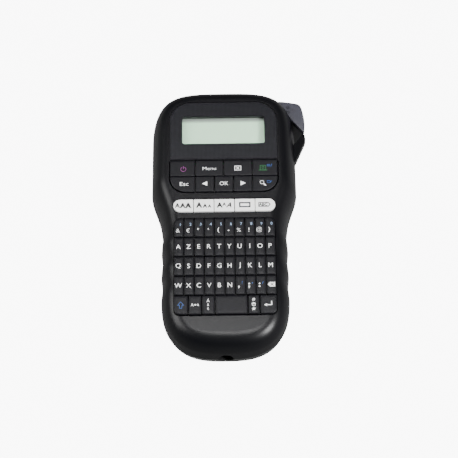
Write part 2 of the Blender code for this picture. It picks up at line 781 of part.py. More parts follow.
def build_boards(face, green, rubber):
    half = KEYPAD_HALF_WIDTH - 0.2
    low = KEYPAD_BOTTOM + 1.5
    box("keypad_mat", (-half, half), (low, FUNCTION_TOP), (MAT_BOTTOM, MAT_TOP), rubber, face)
    box("main_board", (-half, half), (low, WINDOW_TOP + 6.0), (BOARD_BOTTOM, BOARD_TOP), green, face)


# ---------------------------------------------------------------- batteries and socket


def lying_along_y(thing, x, y, z):
    thing.rotation_euler = (-math.pi / 2, 0.0, 0.0)
    thing.location = (x * MM, y * MM, z * MM)
    return thing


def build_batteries(wrap, metal):
    x0 = -(CELLS - 1) * CELL_PITCH / 2
    spring_end = BATTERY_BAY_LOW_Y + GAP + CONTACT_THICKNESS + SPRING_LENGTH
    flat_start = BATTERY_BAY_HIGH_Y - GAP - CONTACT_THICKNESS
    half = BATTERY_BAY_HALF_WIDTH - GAP
    z = (CELL_HEIGHT - 4.0, CELL_HEIGHT + 4.0)
    springs = box(
        "battery_spring_contacts",
        (-half, half),
        (BATTERY_BAY_LOW_Y + GAP, BATTERY_BAY_LOW_Y + GAP + CONTACT_THICKNESS),
        z,
        metal,
    )
    for i in range(CELLS):
        x = x0 + i * CELL_PITCH
        profile = [
            (CELL_RADIUS, 0.0),
            (CELL_RADIUS, CELL_LENGTH),
            (2.0, CELL_LENGTH),
            (2.0, CELL_LENGTH + NUB_LENGTH),
        ]
        lying_along_y(
            turned(f"battery_{i + 1}", (0, 0), profile, wrap, sides=14),
            x,
            spring_end + GAP,
            CELL_HEIGHT,
        )
        cone = turned(f"spring {i + 1}", (0, 0), [(3.4, 0.0), (1.8, SPRING_LENGTH + 0.1)], sides=10)
        join(springs, lying_along_y(cone, x, spring_end - SPRING_LENGTH - 0.1, CELL_HEIGHT))
    box("battery_flat_contacts", (-half, half), (flat_start, flat_start + CONTACT_THICKNESS), z, metal)


def build_jack(finish):
    back, front = CASE_BOTTOM + 16.5, CASE_BOTTOM + 5.6
    jack = box("dc_jack", (-4.6, 4.6), (front, back), (JACK_HEIGHT - 5.4, JACK_HEIGHT + 4.6), finish)
    socket = lying_along_y(
        cylinder("socket", (0, 0), 3.1, 0.0, 9.6, sides=14), 0.0, front - 0.5, JACK_HEIGHT
    )
    pin = lying_along_y(
        cylinder("socket pin", (0, 0), 1.0, 0.0, 9.0, sides=10), 0.0, front + 1.0, JACK_HEIGHT
    )
    return join(cut(jack, socket), pin)


# ---------------------------------------------------------------- cassette, head and drive


def build_cassette(finish, tape):
    head_x = (PLATEN_X - 5.0, PLATEN_X + 5.0)
    notch_low = TAPE_LINE - 10.0
    points = [
        (CASSETTE_LEFT, CASSETTE_BOTTOM),
        (CASSETTE_RIGHT, CASSETTE_BOTTOM),
        (CASSETTE_RIGHT, TAPE_LINE - GAP),
        (head_x[1], TAPE_LINE - GAP),
        (head_x[1], notch_low),
        (head_x[0], notch_low),
        (head_x[0], TAPE_LINE - GAP),
        (CASSETTE_LEFT, TAPE_LINE - GAP),
    ]
    shell_body = prism("tape_cassette", points, CASSETTE_LOW, CASSETTE_HIGH - GAP, finish)
    roll = (CASSETTE_LEFT + 23.0, CASSETTE_BOTTOM + CASSETTE_DEPTH / 2)
    well = 19.8
    cut(
        shell_body,
        cylinder("roll well", roll, well, 0.0, CASSETTE_HIGH - 2.6, sides=24),
        cylinder("spindle hole", TAKEUP, 3.4, 0.0, 30.0, sides=12),
    )
    profile = [(18.9, CASSETTE_LOW + 0.6), (18.9, CASSETTE_HIGH - 3.4)]
    spool = turned("tape_roll", roll, profile, tape, sides=24)
    cut(spool, cylinder("roll bore", roll, 6.0, 0.0, 30.0, sides=12))
    turns_about(spool, *roll)


def gear_outline(centre, teeth, turned_by):
    """A spur gear's outline. The teeth are a little thin, so meshed gears never bind."""
    pitch_radius = GEAR_MODULE * teeth / 2
    root, tip = pitch_radius - 1.2 * GEAR_MODULE, pitch_radius + 0.8 * GEAR_MODULE
    step = 2 * math.pi / teeth
    shape = ((-0.27, root), (-0.10, tip), (0.10, tip), (0.27, root))
    return [
        (
            centre[0] + radius * math.cos(turned_by + step * (tooth + share)),
            centre[1] + radius * math.sin(turned_by + step * (tooth + share)),
        )
        for tooth in range(teeth)
        for share, radius in shape
    ]


def mesh_turn(teeth, towards, tooth_facing):
    """The turn that puts a tooth, or the gap between two, on the line to the other gear."""
    return towards + (0.0 if tooth_facing else math.pi / teeth)


def build_drive(steel, nylon, rubber, brass):
    axle = DRIVE_AXLE
    reduction_turn = mesh_turn(REDUCTION_PINION_TEETH, math.pi / 2, True)
    big_turn = mesh_turn(REDUCTION_TEETH, math.pi, True)
    gear = prism(
        "reduction_gear",
        gear_outline(axle, REDUCTION_TEETH, big_turn),
        GEAR_HIGH,
        GEAR_HIGH + GEAR_THICKNESS,
        nylon,
    )
    join(
        gear,
        prism(
            "reduction pinion",
            gear_outline(axle, REDUCTION_PINION_TEETH, reduction_turn),
            GEAR_LOW,
            GEAR_HIGH + 0.5,
        ),
    )
    cut(gear, cylinder("reduction bore", axle, 1.5 + RUNNING_GAP, 0.0, 60.0, sides=12))
    turns_about(gear, *axle)

    pinion = prism(
        "motor_pinion",
        gear_outline(MOTOR, PINION_TEETH, mesh_turn(PINION_TEETH, 0.0, False)),
        GEAR_HIGH,
        GEAR_HIGH + GEAR_THICKNESS,
        brass,
    )
    cut(pinion, cylinder("pinion bore", MOTOR, 1.0 + RUNNING_GAP, 0.0, 60.0, sides=10))
    turns_about(pinion, *MOTOR)

    platen_turn = mesh_turn(PLATEN_TEETH, -math.pi / 2, False)
    roller = prism(
        "platen_gear",
        gear_outline(PLATEN, PLATEN_TEETH, platen_turn),
        GEAR_LOW,
        GEAR_LOW + GEAR_THICKNESS,
        nylon,
    )
    join(roller, cylinder("platen shaft", PLATEN, 1.2, 3.4, GEAR_LOW + 1.0, sides=12))
    sleeve = cylinder("platen_roller", PLATEN, PLATEN_RADIUS, 5.2, 18.8, rubber, sides=20)
    cut(sleeve, cylinder("platen bore", PLATEN, 1.2 + GAP, 0.0, 60.0, sides=12))
    turns_about(roller, *PLATEN)
    turns_about(sleeve, *PLATEN)

    # Where the drive pinion's nearest tooth stands sets how the take-up gear is turned to mesh.
    facing = TAKEUP_ANGLE - math.pi
    pinion_phase = ((TAKEUP_ANGLE - reduction_turn) / (2 * math.pi / REDUCTION_PINION_TEETH)) % 1.0
    takeup_turn = facing + (0.5 - (-pinion_phase % 1.0)) * 2 * math.pi / TAKEUP_TEETH
    takeup = prism(
        "takeup_spindle",
        gear_outline(TAKEUP, TAKEUP_TEETH, takeup_turn),
        GEAR_LOW,
        GEAR_LOW + GEAR_THICKNESS,
        nylon,
    )
    join(takeup, cylinder("takeup shaft", TAKEUP, 2.0, CASSETTE_LOW + 2.0, GEAR_LOW + 1.0, sides=12))
    turns_about(takeup, *TAKEUP)

    profile = [
        (10.0, SHELF_HIGH + GAP),
        (10.0, SHELF_HIGH + 12.0),
        (4.0, SHELF_HIGH + 12.0),
        (4.0, SHELF_HIGH + 12.8),
    ]
    motor = turned("motor", MOTOR, profile, steel, sides=20)
    join(motor, cylinder("motor shaft", MOTOR, 1.0, GEAR_HIGH - 0.2, SHELF_HIGH + 1.0, sides=10))


def build_chassis(steel):
    """A bent steel sheet: a base on the bay roof, a web and a shelf that hangs the motor."""
    left = MOTOR[0] - 14.0
    base = box(
        "mech_chassis",
        (left, BAY_RIGHT + 1.5),
        (DRIVE_AXLE[1] - 20.0, PLATEN[1] + 9.0),
        (CHASSIS_LOW, CHASSIS_HIGH),
        steel,
    )
    join(
        base,
        box(
            "chassis web",
            (left, left + 1.0),
            (DRIVE_AXLE[1] - 12.0, DRIVE_AXLE[1] + 10.0),
            (CHASSIS_LOW, SHELF_HIGH),
        ),
        box(
            "chassis shelf",
            (left, DRIVE_AXLE[0] + 3.0),
            (DRIVE_AXLE[1] - 12.0, DRIVE_AXLE[1] + 8.0),
            (SHELF_LOW, SHELF_HIGH),
        ),
        cylinder("reduction axle", DRIVE_AXLE, 1.5, CHASSIS_LOW + 0.5, SHELF_LOW + 0.5, sides=12),
        cylinder("lever pin", LEVER_PIN, 1.6, CHASSIS_LOW + 0.5, ARM_HIGH + 6.0, sides=12),
    )
    cut(
        base,
        cylinder("motor shaft hole", MOTOR, 1.6, SHELF_LOW - 1.0, 60.0, sides=10),
        cylinder(
            "platen shaft slot", (PLATEN[0], PLATEN[1] + 1.0), 3.2, 0.0, CHASSIS_HIGH + 0.4, sides=12
        ),
        cylinder("takeup shaft hole", TAKEUP, 2.6, 0.0, CHASSIS_HIGH + 0.4, sides=12),
    )
    return base


def build_roller_arm(finish):
    """A C-shaped arm that carries the platen roller and swings it away from the head."""
    low, high = 3.4, BAY_HEIGHT - GAP

    tip, pivot = PLATEN, ROLLER_PIVOT
    arm_outline = [
        (tip[0] - 3.0, tip[1] - 2.6),
        (pivot[0] + 2.6, pivot[1] - 2.8),
        (pivot[0] + 2.6, pivot[1] + 3.0),
        (pivot[0], pivot[1] + 5.6),
        (tip[0] - 3.0, tip[1] + 6.6),
    ]
    arm = prism("roller_arm", arm_outline, low, high, finish)
    throat_x = (PLATEN[0] - 9.0, ROLLER_PIVOT[0] - 3.0)
    throat_y = (PLATEN[1] - 9.0, PLATEN[1] + 4.7)
    cut(
        arm,
        box("arm throat", throat_x, throat_y, (low + 1.2, high - 1.2)),
        cylinder("arm pivot bore", ROLLER_PIVOT, 1.5 + RUNNING_GAP, 0.0, 40.0, sides=12),
        cylinder("arm shaft bore", PLATEN, 1.2 + RUNNING_GAP, 0.0, 40.0, sides=12),
    )
    return turns_about(arm, *ROLLER_PIVOT)


def build_head(finish):
    """The heat sink block with the heating line towards the platen."""
    top = TAPE_LINE - GAP
    points = [
        (PLATEN_X - 3.4, top - 8.0),
        (PLATEN_X + 3.4, top - 8.0),
        (PLATEN_X + 3.4, top - 1.6),
        (PLATEN_X + 1.2, top),
        (PLATEN_X - 1.2, top),
        (PLATEN_X - 3.4, top - 1.6),
    ]
    return prism("print_head", points, 3.6, BAY_HEIGHT - GAP, finish)


# ---------------------------------------------------------------- cutter


def build_cutter(lever_finish, steel, spring_steel):
    pin_x, pin_y = LEVER_PIN
    plate = from_side(
        (-13.6, 91.6),
        (2.9, 89.0),
        (5.0, 86.4),
        (6.9, 75.6),
        (6.8, 68.6),
        (6.2, 63.8),
        (-2.6, 75.2),
        (-4.6, 79.0),
    )
    body = from_side(
        (-3.7, 74.2), (6.6, 74.2), (6.9, 75.6), (5.0, 86.4), (2.9, 89.0), (-9.5, 91.0), (-3.7, 82.0)
    )
    lever = prism("cutter_lever", plate, LEVER_PLATE_LOW, LEVER_TOP, lever_finish)
    arm = [
        (pin_x, pin_y - 4.5),
        (SHOULDER_HALF_WIDTH - 3.0, 75.4),
        (SHOULDER_HALF_WIDTH - 3.0, 84.0),
        (pin_x, pin_y + 5.0),
    ]
    join(
        lever,
        prism("lever body", body, LEVER_LOW, LEVER_PLATE_LOW + 1.0),
        prism("lever arm", arm, ARM_LOW, ARM_HIGH),
        cylinder("lever boss", LEVER_PIN, 5.2, ARM_LOW, ARM_HIGH, sides=16),
    )
    cut(lever, cylinder("lever bore", LEVER_PIN, 1.6 + RUNNING_GAP, 0.0, 60.0, sides=12))
    turns_about(lever, *LEVER_PIN)

    blade_x = (CUT_X - BLADE_THICKNESS / 2, CUT_X + BLADE_THICKNESS / 2)
    blade = [(TAPE_LINE + 2.6, 4.8), (82.0, 8.2), (82.0, 20.4), (TAPE_LINE + 4.4, 20.4)]
    rings = [[(x, y, z) for y, z in blade] for x in blade_x]
    turns_about(add_object("cutter_blade", stack(rings), steel), *LEVER_PIN)
    anvil_x = (blade_x[0] - GAP - BLADE_THICKNESS, blade_x[0] - GAP)
    box("cutter_anvil", anvil_x, (WINDOW_SILL_Y + GAP, TAPE_LINE - 1.0), (4.8, 20.4), steel)
    build_spring(spring_steel)


def build_spring(finish):
    """The torsion spring on the lever's pin."""
    turns, steps, radius, wire = 3, 10, 3.0, 0.45
    curve = bpy.data.curves.new("lever_spring", "CURVE")
    curve.dimensions = "3D"
    curve.bevel_depth = wire * MM
    curve.bevel_resolution = 0
    curve.use_fill_caps = True
    line = curve.splines.new("POLY")
    line.points.add(turns * steps)
    for i in range(turns * steps + 1):
        a = 2 * math.pi * i / steps
        x, y = LEVER_PIN[0] + radius * math.cos(a), LEVER_PIN[1] + radius * math.sin(a)
        z = ARM_HIGH + 1.0 + 1.2 * i / steps
        line.points[i].co = (x * MM, y * MM, z * MM, 1.0)
    made = bpy.data.objects.new("lever_spring", curve)
    made.data.materials.append(finish)
    bpy.context.scene.collection.objects.link(made)
    return made


# ---------------------------------------------------------------- assembly


def main():
    clear_scene()
    face = bpy.data.objects.new("face", None)
    bpy.context.scene.collection.objects.link(face)
    face.rotation_euler = (FACE_SLOPE, 0.0, 0.0)
    face.location = (0.0, 0.0, FACE_HEIGHT_MID * MM)

    black = material("black plastic", (0.012, 0.012, 0.014), 0.35)
    dark = material("dark plastic", (0.03, 0.03, 0.033), 0.5)
    grey = material("grey plastic", (0.10, 0.10, 0.11), 0.45)
    panel = material("panel print", (0.02, 0.02, 0.025), 0.3)
    clear = material("clear plastic", (0.8, 0.85, 0.8), 0.05)
    green = material("lcd", (0.55, 0.68, 0.55), 0.3)
    board = material("circuit board", (0.02, 0.15, 0.05), 0.5)
    rubber = material("key rubber", (0.02, 0.02, 0.022), 0.6)
    white = material("white rubber", (0.85, 0.85, 0.85), 0.5)
    steel = material("steel", (0.6, 0.6, 0.62), 0.3, 1.0)
    brass = material("brass", (0.8, 0.6, 0.3), 0.3, 1.0)
    nylon = material("nylon", (0.85, 0.85, 0.8), 0.4)
    wrap = material("cell wrap", (0.1, 0.15, 0.3), 0.3)
    tape = material("label tape", (0.9, 0.9, 0.88), 0.5)

    build_front_case(face, black)
    build_rear_case(dark)
    build_rear_cover(dark)
    build_screws(steel)
    build_display(face, panel, clear, green)
    build_function_keys(face, rubber)
    build_style_keys(face, white)
    build_letter_rows(face, rubber)
    build_bottom_row(face, rubber)
    build_boards(face, board, rubber)
    build_batteries(wrap, steel)
    build_jack(black)
    build_cassette(dark, tape)
    build_drive(steel, nylon, rubber, brass)
    build_chassis(steel)
    build_roller_arm(dark)
    build_head(steel)
    build_cutter(grey, steel, steel)


main()
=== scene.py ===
"""The looks of a hand-held label maker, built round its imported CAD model.

Everything is in the CAD's frame: +X is the user's right, +Y the display end and +Z out of the
keyboard. Sizes are in millimetres and the helpers turn them into metres.
"""

import json
import math

import bmesh
import bpy
from mathutils import Matrix, Quaternion, Vector


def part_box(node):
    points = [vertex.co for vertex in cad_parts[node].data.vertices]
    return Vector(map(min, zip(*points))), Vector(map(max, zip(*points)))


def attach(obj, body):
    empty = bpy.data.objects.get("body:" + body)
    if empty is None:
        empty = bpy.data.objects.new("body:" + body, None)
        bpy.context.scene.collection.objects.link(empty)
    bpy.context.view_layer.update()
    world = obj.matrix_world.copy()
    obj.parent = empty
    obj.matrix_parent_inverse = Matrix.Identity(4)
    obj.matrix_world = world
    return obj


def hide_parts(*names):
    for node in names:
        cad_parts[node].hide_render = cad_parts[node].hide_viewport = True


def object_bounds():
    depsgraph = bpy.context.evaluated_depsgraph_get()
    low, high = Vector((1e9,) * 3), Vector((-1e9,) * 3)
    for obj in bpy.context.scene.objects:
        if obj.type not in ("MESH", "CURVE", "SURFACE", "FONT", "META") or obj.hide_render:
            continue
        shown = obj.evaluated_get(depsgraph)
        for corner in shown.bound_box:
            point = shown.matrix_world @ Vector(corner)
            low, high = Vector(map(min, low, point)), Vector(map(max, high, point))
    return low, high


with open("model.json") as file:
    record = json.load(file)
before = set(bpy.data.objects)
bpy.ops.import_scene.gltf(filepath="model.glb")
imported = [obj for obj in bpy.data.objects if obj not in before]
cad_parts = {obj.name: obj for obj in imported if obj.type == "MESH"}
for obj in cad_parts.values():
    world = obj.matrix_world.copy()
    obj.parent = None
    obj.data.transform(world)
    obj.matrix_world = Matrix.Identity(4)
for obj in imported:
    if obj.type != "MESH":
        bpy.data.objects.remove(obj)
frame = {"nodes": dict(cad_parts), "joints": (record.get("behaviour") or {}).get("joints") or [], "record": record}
CAD_LOW, CAD_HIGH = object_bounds()

MM = 0.001
GAP = 0.3

# ---- the keyboard face: its slope is the keys' own, its height the display panel's top ----
PANEL_BELOW_FACE = 0.05
PRESS = Vector(next(j["axis"] for j in frame["joints"] if j["name"] == "power_key_press")).normalized()
FACE_SLOPE = math.asin(PRESS.y)
PANEL_REACH = max(-PRESS.dot(v.co) for v in frame["nodes"]["display_panel"].data.vertices) / MM
FACE_HEIGHT = (PANEL_REACH + PANEL_BELOW_FACE) / math.cos(FACE_SLOPE)
FACE = Matrix.Translation((0, 0, FACE_HEIGHT * MM)) @ Matrix.Rotation(FACE_SLOPE, 4, "X")
FACE_THICKNESS = 3.0

# ---- the casing's outline ----
LENGTH_LOW, LENGTH_HIGH = -103.7, CAD_HIGH.y / MM
SHOULDER_HALF_WIDTH = -CAD_LOW.x / MM
GRIP_HALF_WIDTH = 43.6
SHOULDER_START, SHOULDER_END = -8.0, 24.0
TOP_DEPTH, TOP_POWER, TOP_ROLL = 45.0, 3.5, 0.1
BOTTOM_DEPTH, BOTTOM_POWER = 48.5, 2.8
SCALLOP_DEPTH, SCALLOP_PITCH, SCALLOP_FIRST, SCALLOPS = 0.8, 19.0, -14.0, 3
PARTING = 25.5
FACE_EDGE_INSET, FACE_EDGE_POWER = 12.5, 2.3
BACK_EDGE_INSET, BACK_EDGE_POWER, BACK_DRAFT, GRIP_DRAFT = 5.0, 2.4, 2.0, 6.5
WALL = 2.2
SEAM_CHAMFER = 0.35
END_STEPS, SIDE_STEP, EDGE_STEPS = 36, 2.0, 14

# ---- the openings in the face ----
PANEL_HALF_WIDTH, PANEL_LOW, PANEL_HIGH, PANEL_CORNER = 37.5, 37.1, 82.4, 15.0
PANEL_DEPTH = 1.5
WINDOW_HALF_WIDTH, WINDOW_LOW, WINDOW_HIGH, WINDOW_CORNER = 28.7, 49.5, 71.0, 1.5
FUNCTION_LOW, FUNCTION_HIGH, FUNCTION_CORNER = 11.1, 35.9, 11.0
STYLE_HALF_WIDTH, STYLE_LOW, STYLE_HIGH = 35.2, -4.0, 5.9
KEYPAD_HALF_WIDTH, KEYPAD_LOW, KEYPAD_HIGH, KEYPAD_CORNER = 34.6, -80.4, -8.9, 4.0
RIM_CHAMFER = 0.5

# ---- where the pieces inside stand ----
CASSETTE_AT = [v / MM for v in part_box("tape_cassette")]
PLATEN_AT = sum(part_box("platen_roller"), Vector()) / 2 / MM
SPRINGS_AT = [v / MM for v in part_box("battery_spring_contacts")]
FLATS_AT = [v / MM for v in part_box("battery_flat_contacts")]
CELL_AT = [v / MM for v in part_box("battery_1")]
TAKEUP_AT = sum(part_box("takeup_spindle"), Vector()) / 2 / MM
SCREWS_AT = [sum(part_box(f"case_screw_{i}"), Vector()) / 2 / MM for i in range(1, 5)]
BAY_RIGHT = CASSETTE_AT[1].x + 1.5
BATTERY_X = (SPRINGS_AT[0].x - GAP, SPRINGS_AT[1].x + GAP)
BATTERY_Y = (SPRINGS_AT[0].y - GAP, FLATS_AT[1].y + GAP)
BATTERY_ROOF = CELL_AT[1].z + 0.7

# ---- the tape exit, the lever, the power inlet and the strap holes ----
TAPE_LINE = 70.0
GUIDE_BOTTOM, GUIDE_TOP = 34.0, 40.0
BAY_CORNER = 4.5
COVER_HIGH, COVER_LOW = TAPE_LINE + 15.0, LENGTH_LOW + 18.0
LEVER_PLATE_LOW, LEVER_TOP, LEVER_LOW = 41.0, 45.0, 12.0
LEVER_WINDOW_HIGH = 92.4
LEVER_GROOVES, GROOVE_PITCH = 7, 3.6
BAY_FLOOR = 2.3
BACK_THICKNESS = BAY_FLOOR + 2.1
BAY_HEIGHT, BAY_ROOF = 21.0, 2.0
JACK_HEIGHT, JACK_HOLE_RADIUS = 25.0, 5.1
STRAP_HOLES = ((23.0, 4.0), (33.4, 5.0))
SCREW_HEAD_RADIUS, SCREW_HOLE_RADIUS = 2.8, 1.55

INK = 0.03              # thickness of a printed legend
INK_LIFT = 0.01         # how far it stands off the key it is printed on


# ---------------------------------------------------------------- modelling helpers


def deselect():
    """Leaves edit mode and selects nothing."""
    if bpy.context.object and bpy.context.object.mode != "OBJECT":
        bpy.ops.object.mode_set(mode="OBJECT")
    bpy.ops.object.select_all(action="DESELECT")


def pick(*pieces):
    """Selects only these pieces; the first is the active one."""
    deselect()
    for piece in pieces:
        piece.select_set(True)
    bpy.context.view_layer.objects.active = pieces[0]
    return pieces[0]


def named(piece, name):
    piece.name = name
    piece.data.name = name
    return piece


def tidy_normals():
    """Turns the active piece's faces outwards."""
    bpy.ops.object.mode_set(mode="EDIT")
    bpy.ops.mesh.select_all(action="SELECT")
    bpy.ops.mesh.normals_make_consistent(inside=False)
    bpy.ops.object.mode_set(mode="OBJECT")


def slab(name, outline, low, high):
    """A flat-topped block: a filled circle shaped to the outline and extruded up."""
    deselect()
    bpy.ops.mesh.primitive_circle_add(vertices=len(outline), fill_type="NGON")
    made = named(bpy.context.object, name)
    for corner, (x, y) in zip(made.data.vertices, outline):
        corner.co = Vector((x, y, low)) * MM
    bpy.ops.object.mode_set(mode="EDIT")
    bpy.ops.mesh.select_all(action="SELECT")
    bpy.ops.mesh.extrude_region_move(TRANSFORM_OT_translate={"value": (0, 0, (high - low) * MM)})
    bpy.ops.object.mode_set(mode="OBJECT")
    tidy_normals()
    return made


def block(name, x, y, z):
    """A box from its low and high x, y and z."""
    return slab(name, [(x[0], y[0]), (x[1], y[0]), (x[1], y[1]), (x[0], y[1])], *z)


def rod(name, centre, radius, low, high, sides=32):
    """An upright cylinder."""
    deselect()
    middle = Vector((centre[0], centre[1], (low + high) / 2)) * MM
    bpy.ops.mesh.primitive_cylinder_add(
        vertices=sides, radius=radius * MM, depth=(high - low) * MM, location=middle
    )
    made = named(bpy.context.object, name)
    bpy.ops.object.transform_apply(location=True, rotation=True, scale=True)
    return made


def placed(piece, matrix):
    """Puts the piece's mesh in place, with its object left at the origin."""
    piece.data.transform(matrix)
    return piece


def on_face(piece):
    """Moves a piece drawn flat at the origin onto the keyboard face."""
    return placed(piece, FACE)


def round_edges(piece, chosen, width, segments=3):
    """Rounds the edges whose two ends both pass the test."""
    pick(piece)
    bpy.ops.object.mode_set(mode="EDIT")
    bpy.ops.mesh.select_mode(type="EDGE")
    bpy.ops.mesh.select_all(action="DESELECT")
    mesh = bmesh.from_edit_mesh(piece.data)
    for edge in mesh.edges:
        edge.select_set(all(chosen(v.co / MM) for v in edge.verts))
    bmesh.update_edit_mesh(piece.data)
    bpy.ops.mesh.bevel(offset=width * MM, segments=segments, affect="EDGES", clamp_overlap=True)
    bpy.ops.object.mode_set(mode="OBJECT")
    return piece


def modify(piece, kind, **settings):
    """Adds a modifier and applies it."""
    step = piece.modifiers.new(kind.lower(), kind)
    for name, value in settings.items():
        setattr(step, name, value)
    pick(piece)
    bpy.ops.object.modifier_apply(modifier=step.name)
    return piece


def combine(piece, tools, operation):
    """Cuts the tools from the piece, or joins them to it, and clears them away."""
    for tool in tools:
        modify(piece, "BOOLEAN", operation=operation, solver="EXACT", object=tool)
        bpy.data.objects.remove(tool)
    return piece


def carve(piece, *tools):
    return combine(piece, tools, "DIFFERENCE")


def fuse(piece, *tools):
    return combine(piece, tools, "UNION")


def merge(name, pieces):
    """Several loose shapes as one piece."""
    if len(pieces) > 1:
        pick(*pieces)
        bpy.ops.object.join()
    return named(pieces[0], name)


def smooth(piece, angle=35.0):
    """Shades the piece smooth, with edges sharper than the angle kept crisp."""
    pick(piece)
    bpy.ops.object.shade_smooth_by_angle(angle=math.radians(angle))
    return piece


def finish(piece, body, material, replaced=()):
    """Gives a finished piece its material, its body and the CAD nodes that it stands for."""
    piece.data.materials.clear()
    piece.data.materials.append(material)
    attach(piece, body)
    if replaced:
        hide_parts(*replaced)
    return piece


def arc(centre, radius, start, end, steps):
    """Points round an arc, both ends included, angles in degrees."""
    turns = [math.radians(start + (end - start) * i / steps) for i in range(steps + 1)]
    return [(centre[0] + radius * math.cos(a), centre[1] + radius * math.sin(a)) for a in turns]


def rounded(x, y, radii, steps=8):
    """A rectangle with a radius for each corner, from low x and low y, counter-clockwise."""
    points = []
    corners = ((0, 0, 180), (1, 0, 270), (1, 1, 0), (0, 1, 90))
    for (right, up, start), radius in zip(corners, radii):
        if radius <= 0:
            points.append((x[right], y[up]))
            continue
        centre = (x[right] + (-radius if right else radius), y[up] + (-radius if up else radius))
        points += arc(centre, radius, start, start + 90, steps)
    return points


def loft(name, rings):
    """A closed skin drawn through rings of equally many points, lowest first."""
    skin = bmesh.new()
    loops = [[skin.verts.new(Vector(p) * MM) for p in ring] for ring in rings]
    for low, high in zip(loops, loops[1:]):
        for i in range(len(low)):
            skin.faces.new((low[i - 1], low[i], high[i], high[i - 1]))
    skin.faces.new(reversed(loops[0]))
    skin.faces.new(loops[-1])
    bmesh.ops.recalc_face_normals(skin, faces=skin.faces)
    mesh = bpy.data.meshes.new(name)
    skin.to_mesh(mesh)
    skin.free()
    made = bpy.data.objects.new(name, mesh)
    bpy.context.scene.collection.objects.link(made)
    return made


# ---------------------------------------------------------------- materials


def linear(hex_colour):
    """An sRGB hex colour as linear red, green, blue and alpha."""
    parts = [int(hex_colour[i : i + 2], 16) / 255 for i in (1, 3, 5)]
    return (*(c / 12.92 if c <= 0.04045 else ((c + 0.055) / 1.055) ** 2.4 for c in parts), 1.0)


def add_node(tree, kind, sockets=None, **settings):
    """Adds a node with its settings. A socket takes a value or is linked from another socket."""
    made = tree.nodes.new(kind)
    for name, value in settings.items():
        setattr(made, name, value)
    for name, value in (sockets or {}).items():
        if isinstance(value, bpy.types.NodeSocket):
            tree.links.new(value, made.inputs[name])
        else:
            made.inputs[name].default_value = value
    return made


def start_material(name, **sockets):
    """A new material with its shader's own values set."""
    made = bpy.data.materials.new(name)
    made.use_nodes = True
    shader = made.node_tree.nodes["Principled BSDF"]
    for socket, value in sockets.items():
        shader.inputs[socket.replace("_", " ")].default_value = value
    return made, made.node_tree, shader


def surface(
    name,
    light,
    dark,
    roughness,
    grain_mm,
    bump_mm,
    metallic=0.0,
    ior=1.5,
    streak=None,
    rough_swing=0.06,
):
    """A finish with a grain: colour and roughness drift slowly over it and the grain stands in bump.

    grain_mm is the grain's width, bump_mm how far it stands, and streak stretches it along one axis.
    """
    made, tree, shader = start_material(name, Metallic=metallic, IOR=ior)
    place = add_node(tree, "ShaderNodeTexCoord").outputs["Object"]
    scale = Vector((1, 1, 1))
    if streak is not None:
        scale[streak] = 0.04
    stretched = add_node(tree, "ShaderNodeMapping", {"Vector": place, "Scale": scale}).outputs["Vector"]
    grain = add_node(
        tree,
        "ShaderNodeTexNoise",
        {"Vector": stretched, "Scale": 1 / (grain_mm * MM), "Detail": 3.0, "Roughness": 0.6},
    )
    drift = add_node(tree, "ShaderNodeTexNoise", {"Vector": place, "Scale": 28.0, "Detail": 2.0})
    colour = add_node(
        tree,
        "ShaderNodeMix",
        {"Factor": drift.outputs["Fac"], "A": linear(dark), "B": linear(light)},
        data_type="RGBA",
    )
    tree.links.new(colour.outputs["Result"], shader.inputs["Base Color"])
    swing = add_node(
        tree,
        "ShaderNodeMapRange",
        {
            "Value": grain.outputs["Fac"],
            "To Min": roughness - rough_swing,
            "To Max": roughness + rough_swing,
        },
    )
    tree.links.new(swing.outputs["Result"], shader.inputs["Roughness"])
    if bump_mm:
        bump = add_node(
            tree,
            "ShaderNodeBump",
            {"Height": grain.outputs["Fac"], "Distance": bump_mm * MM, "Strength": 1.0},
        )
        tree.links.new(bump.outputs["Normal"], shader.inputs["Normal"])
    return made


# ABS, injection moulded against a fine satin tool: black, with a soft sheen and barely any grain.
CASING_ABS = surface("satin moulded ABS", "#0b0b0e", "#08080b", 0.34, 0.5, 0.006, ior=1.32)
# ABS from a spark-eroded tool: the same black, duller, with a fine even grain.
REAR_ABS = surface("spark eroded ABS", "#121214", "#0d0d0f", 0.46, 0.45, 0.012, ior=1.53)
# ABS again, in a mid grey with the spark-eroded grain that a thumb rests on.
LEVER_ABS = surface("grey spark eroded ABS", "#3e3e46", "#37373f", 0.48, 0.5, 0.015, ior=1.53)
# Silicone rubber, compression moulded: matt and faintly dusty.
KEY_SILICONE = surface("black silicone rubber", "#0f0f13", "#0c0c10", 0.46, 0.35, 0.006, ior=1.3)
# The same rubber in white, on the style keys.
STYLE_SILICONE = surface("white silicone rubber", "#fbfbf9", "#f5f5f3", 0.5, 0.35, 0.004, ior=1.42)
# The keypad's mat, seen only between the keys: a flat mid grey that swallows light.
MAT_SILICONE = surface("grey silicone rubber", "#4a4a4c", "#404042", 0.6, 0.6, 0.01, ior=1.42)
# Nitrile rubber, ground round: the dullest black here.
PLATEN_RUBBER = surface("ground nitrile rubber", "#2a2a2a", "#222222", 0.75, 0.2, 0.01, ior=1.52)
# Acetal gears: milky white and waxy.
ACETAL = surface("moulded acetal", "#e9e7df", "#dddbd2", 0.35, 0.8, 0.004, ior=1.48)
# Brass, turned on a lathe: yellow metal with fine rings that draw its highlight out.
BRASS = surface("turned brass", "#d9b36a", "#c79d55", 0.28, 0.3, 0.004, metallic=1.0, streak=2)
# Steel with a bright zinc plate: cool and slightly cloudy.
PLATED_STEEL = surface("zinc plated steel", "#c9cbd0", "#b4b7bd", 0.3, 0.35, 0.004, metallic=1.0, streak=0)
# Spring wire, drawn through a die: darker, with lines along its length.
SPRING_STEEL = surface("drawn spring steel", "#aeb0b4", "#9a9ca1", 0.25, 0.2, 0.002, metallic=1.0, streak=1)
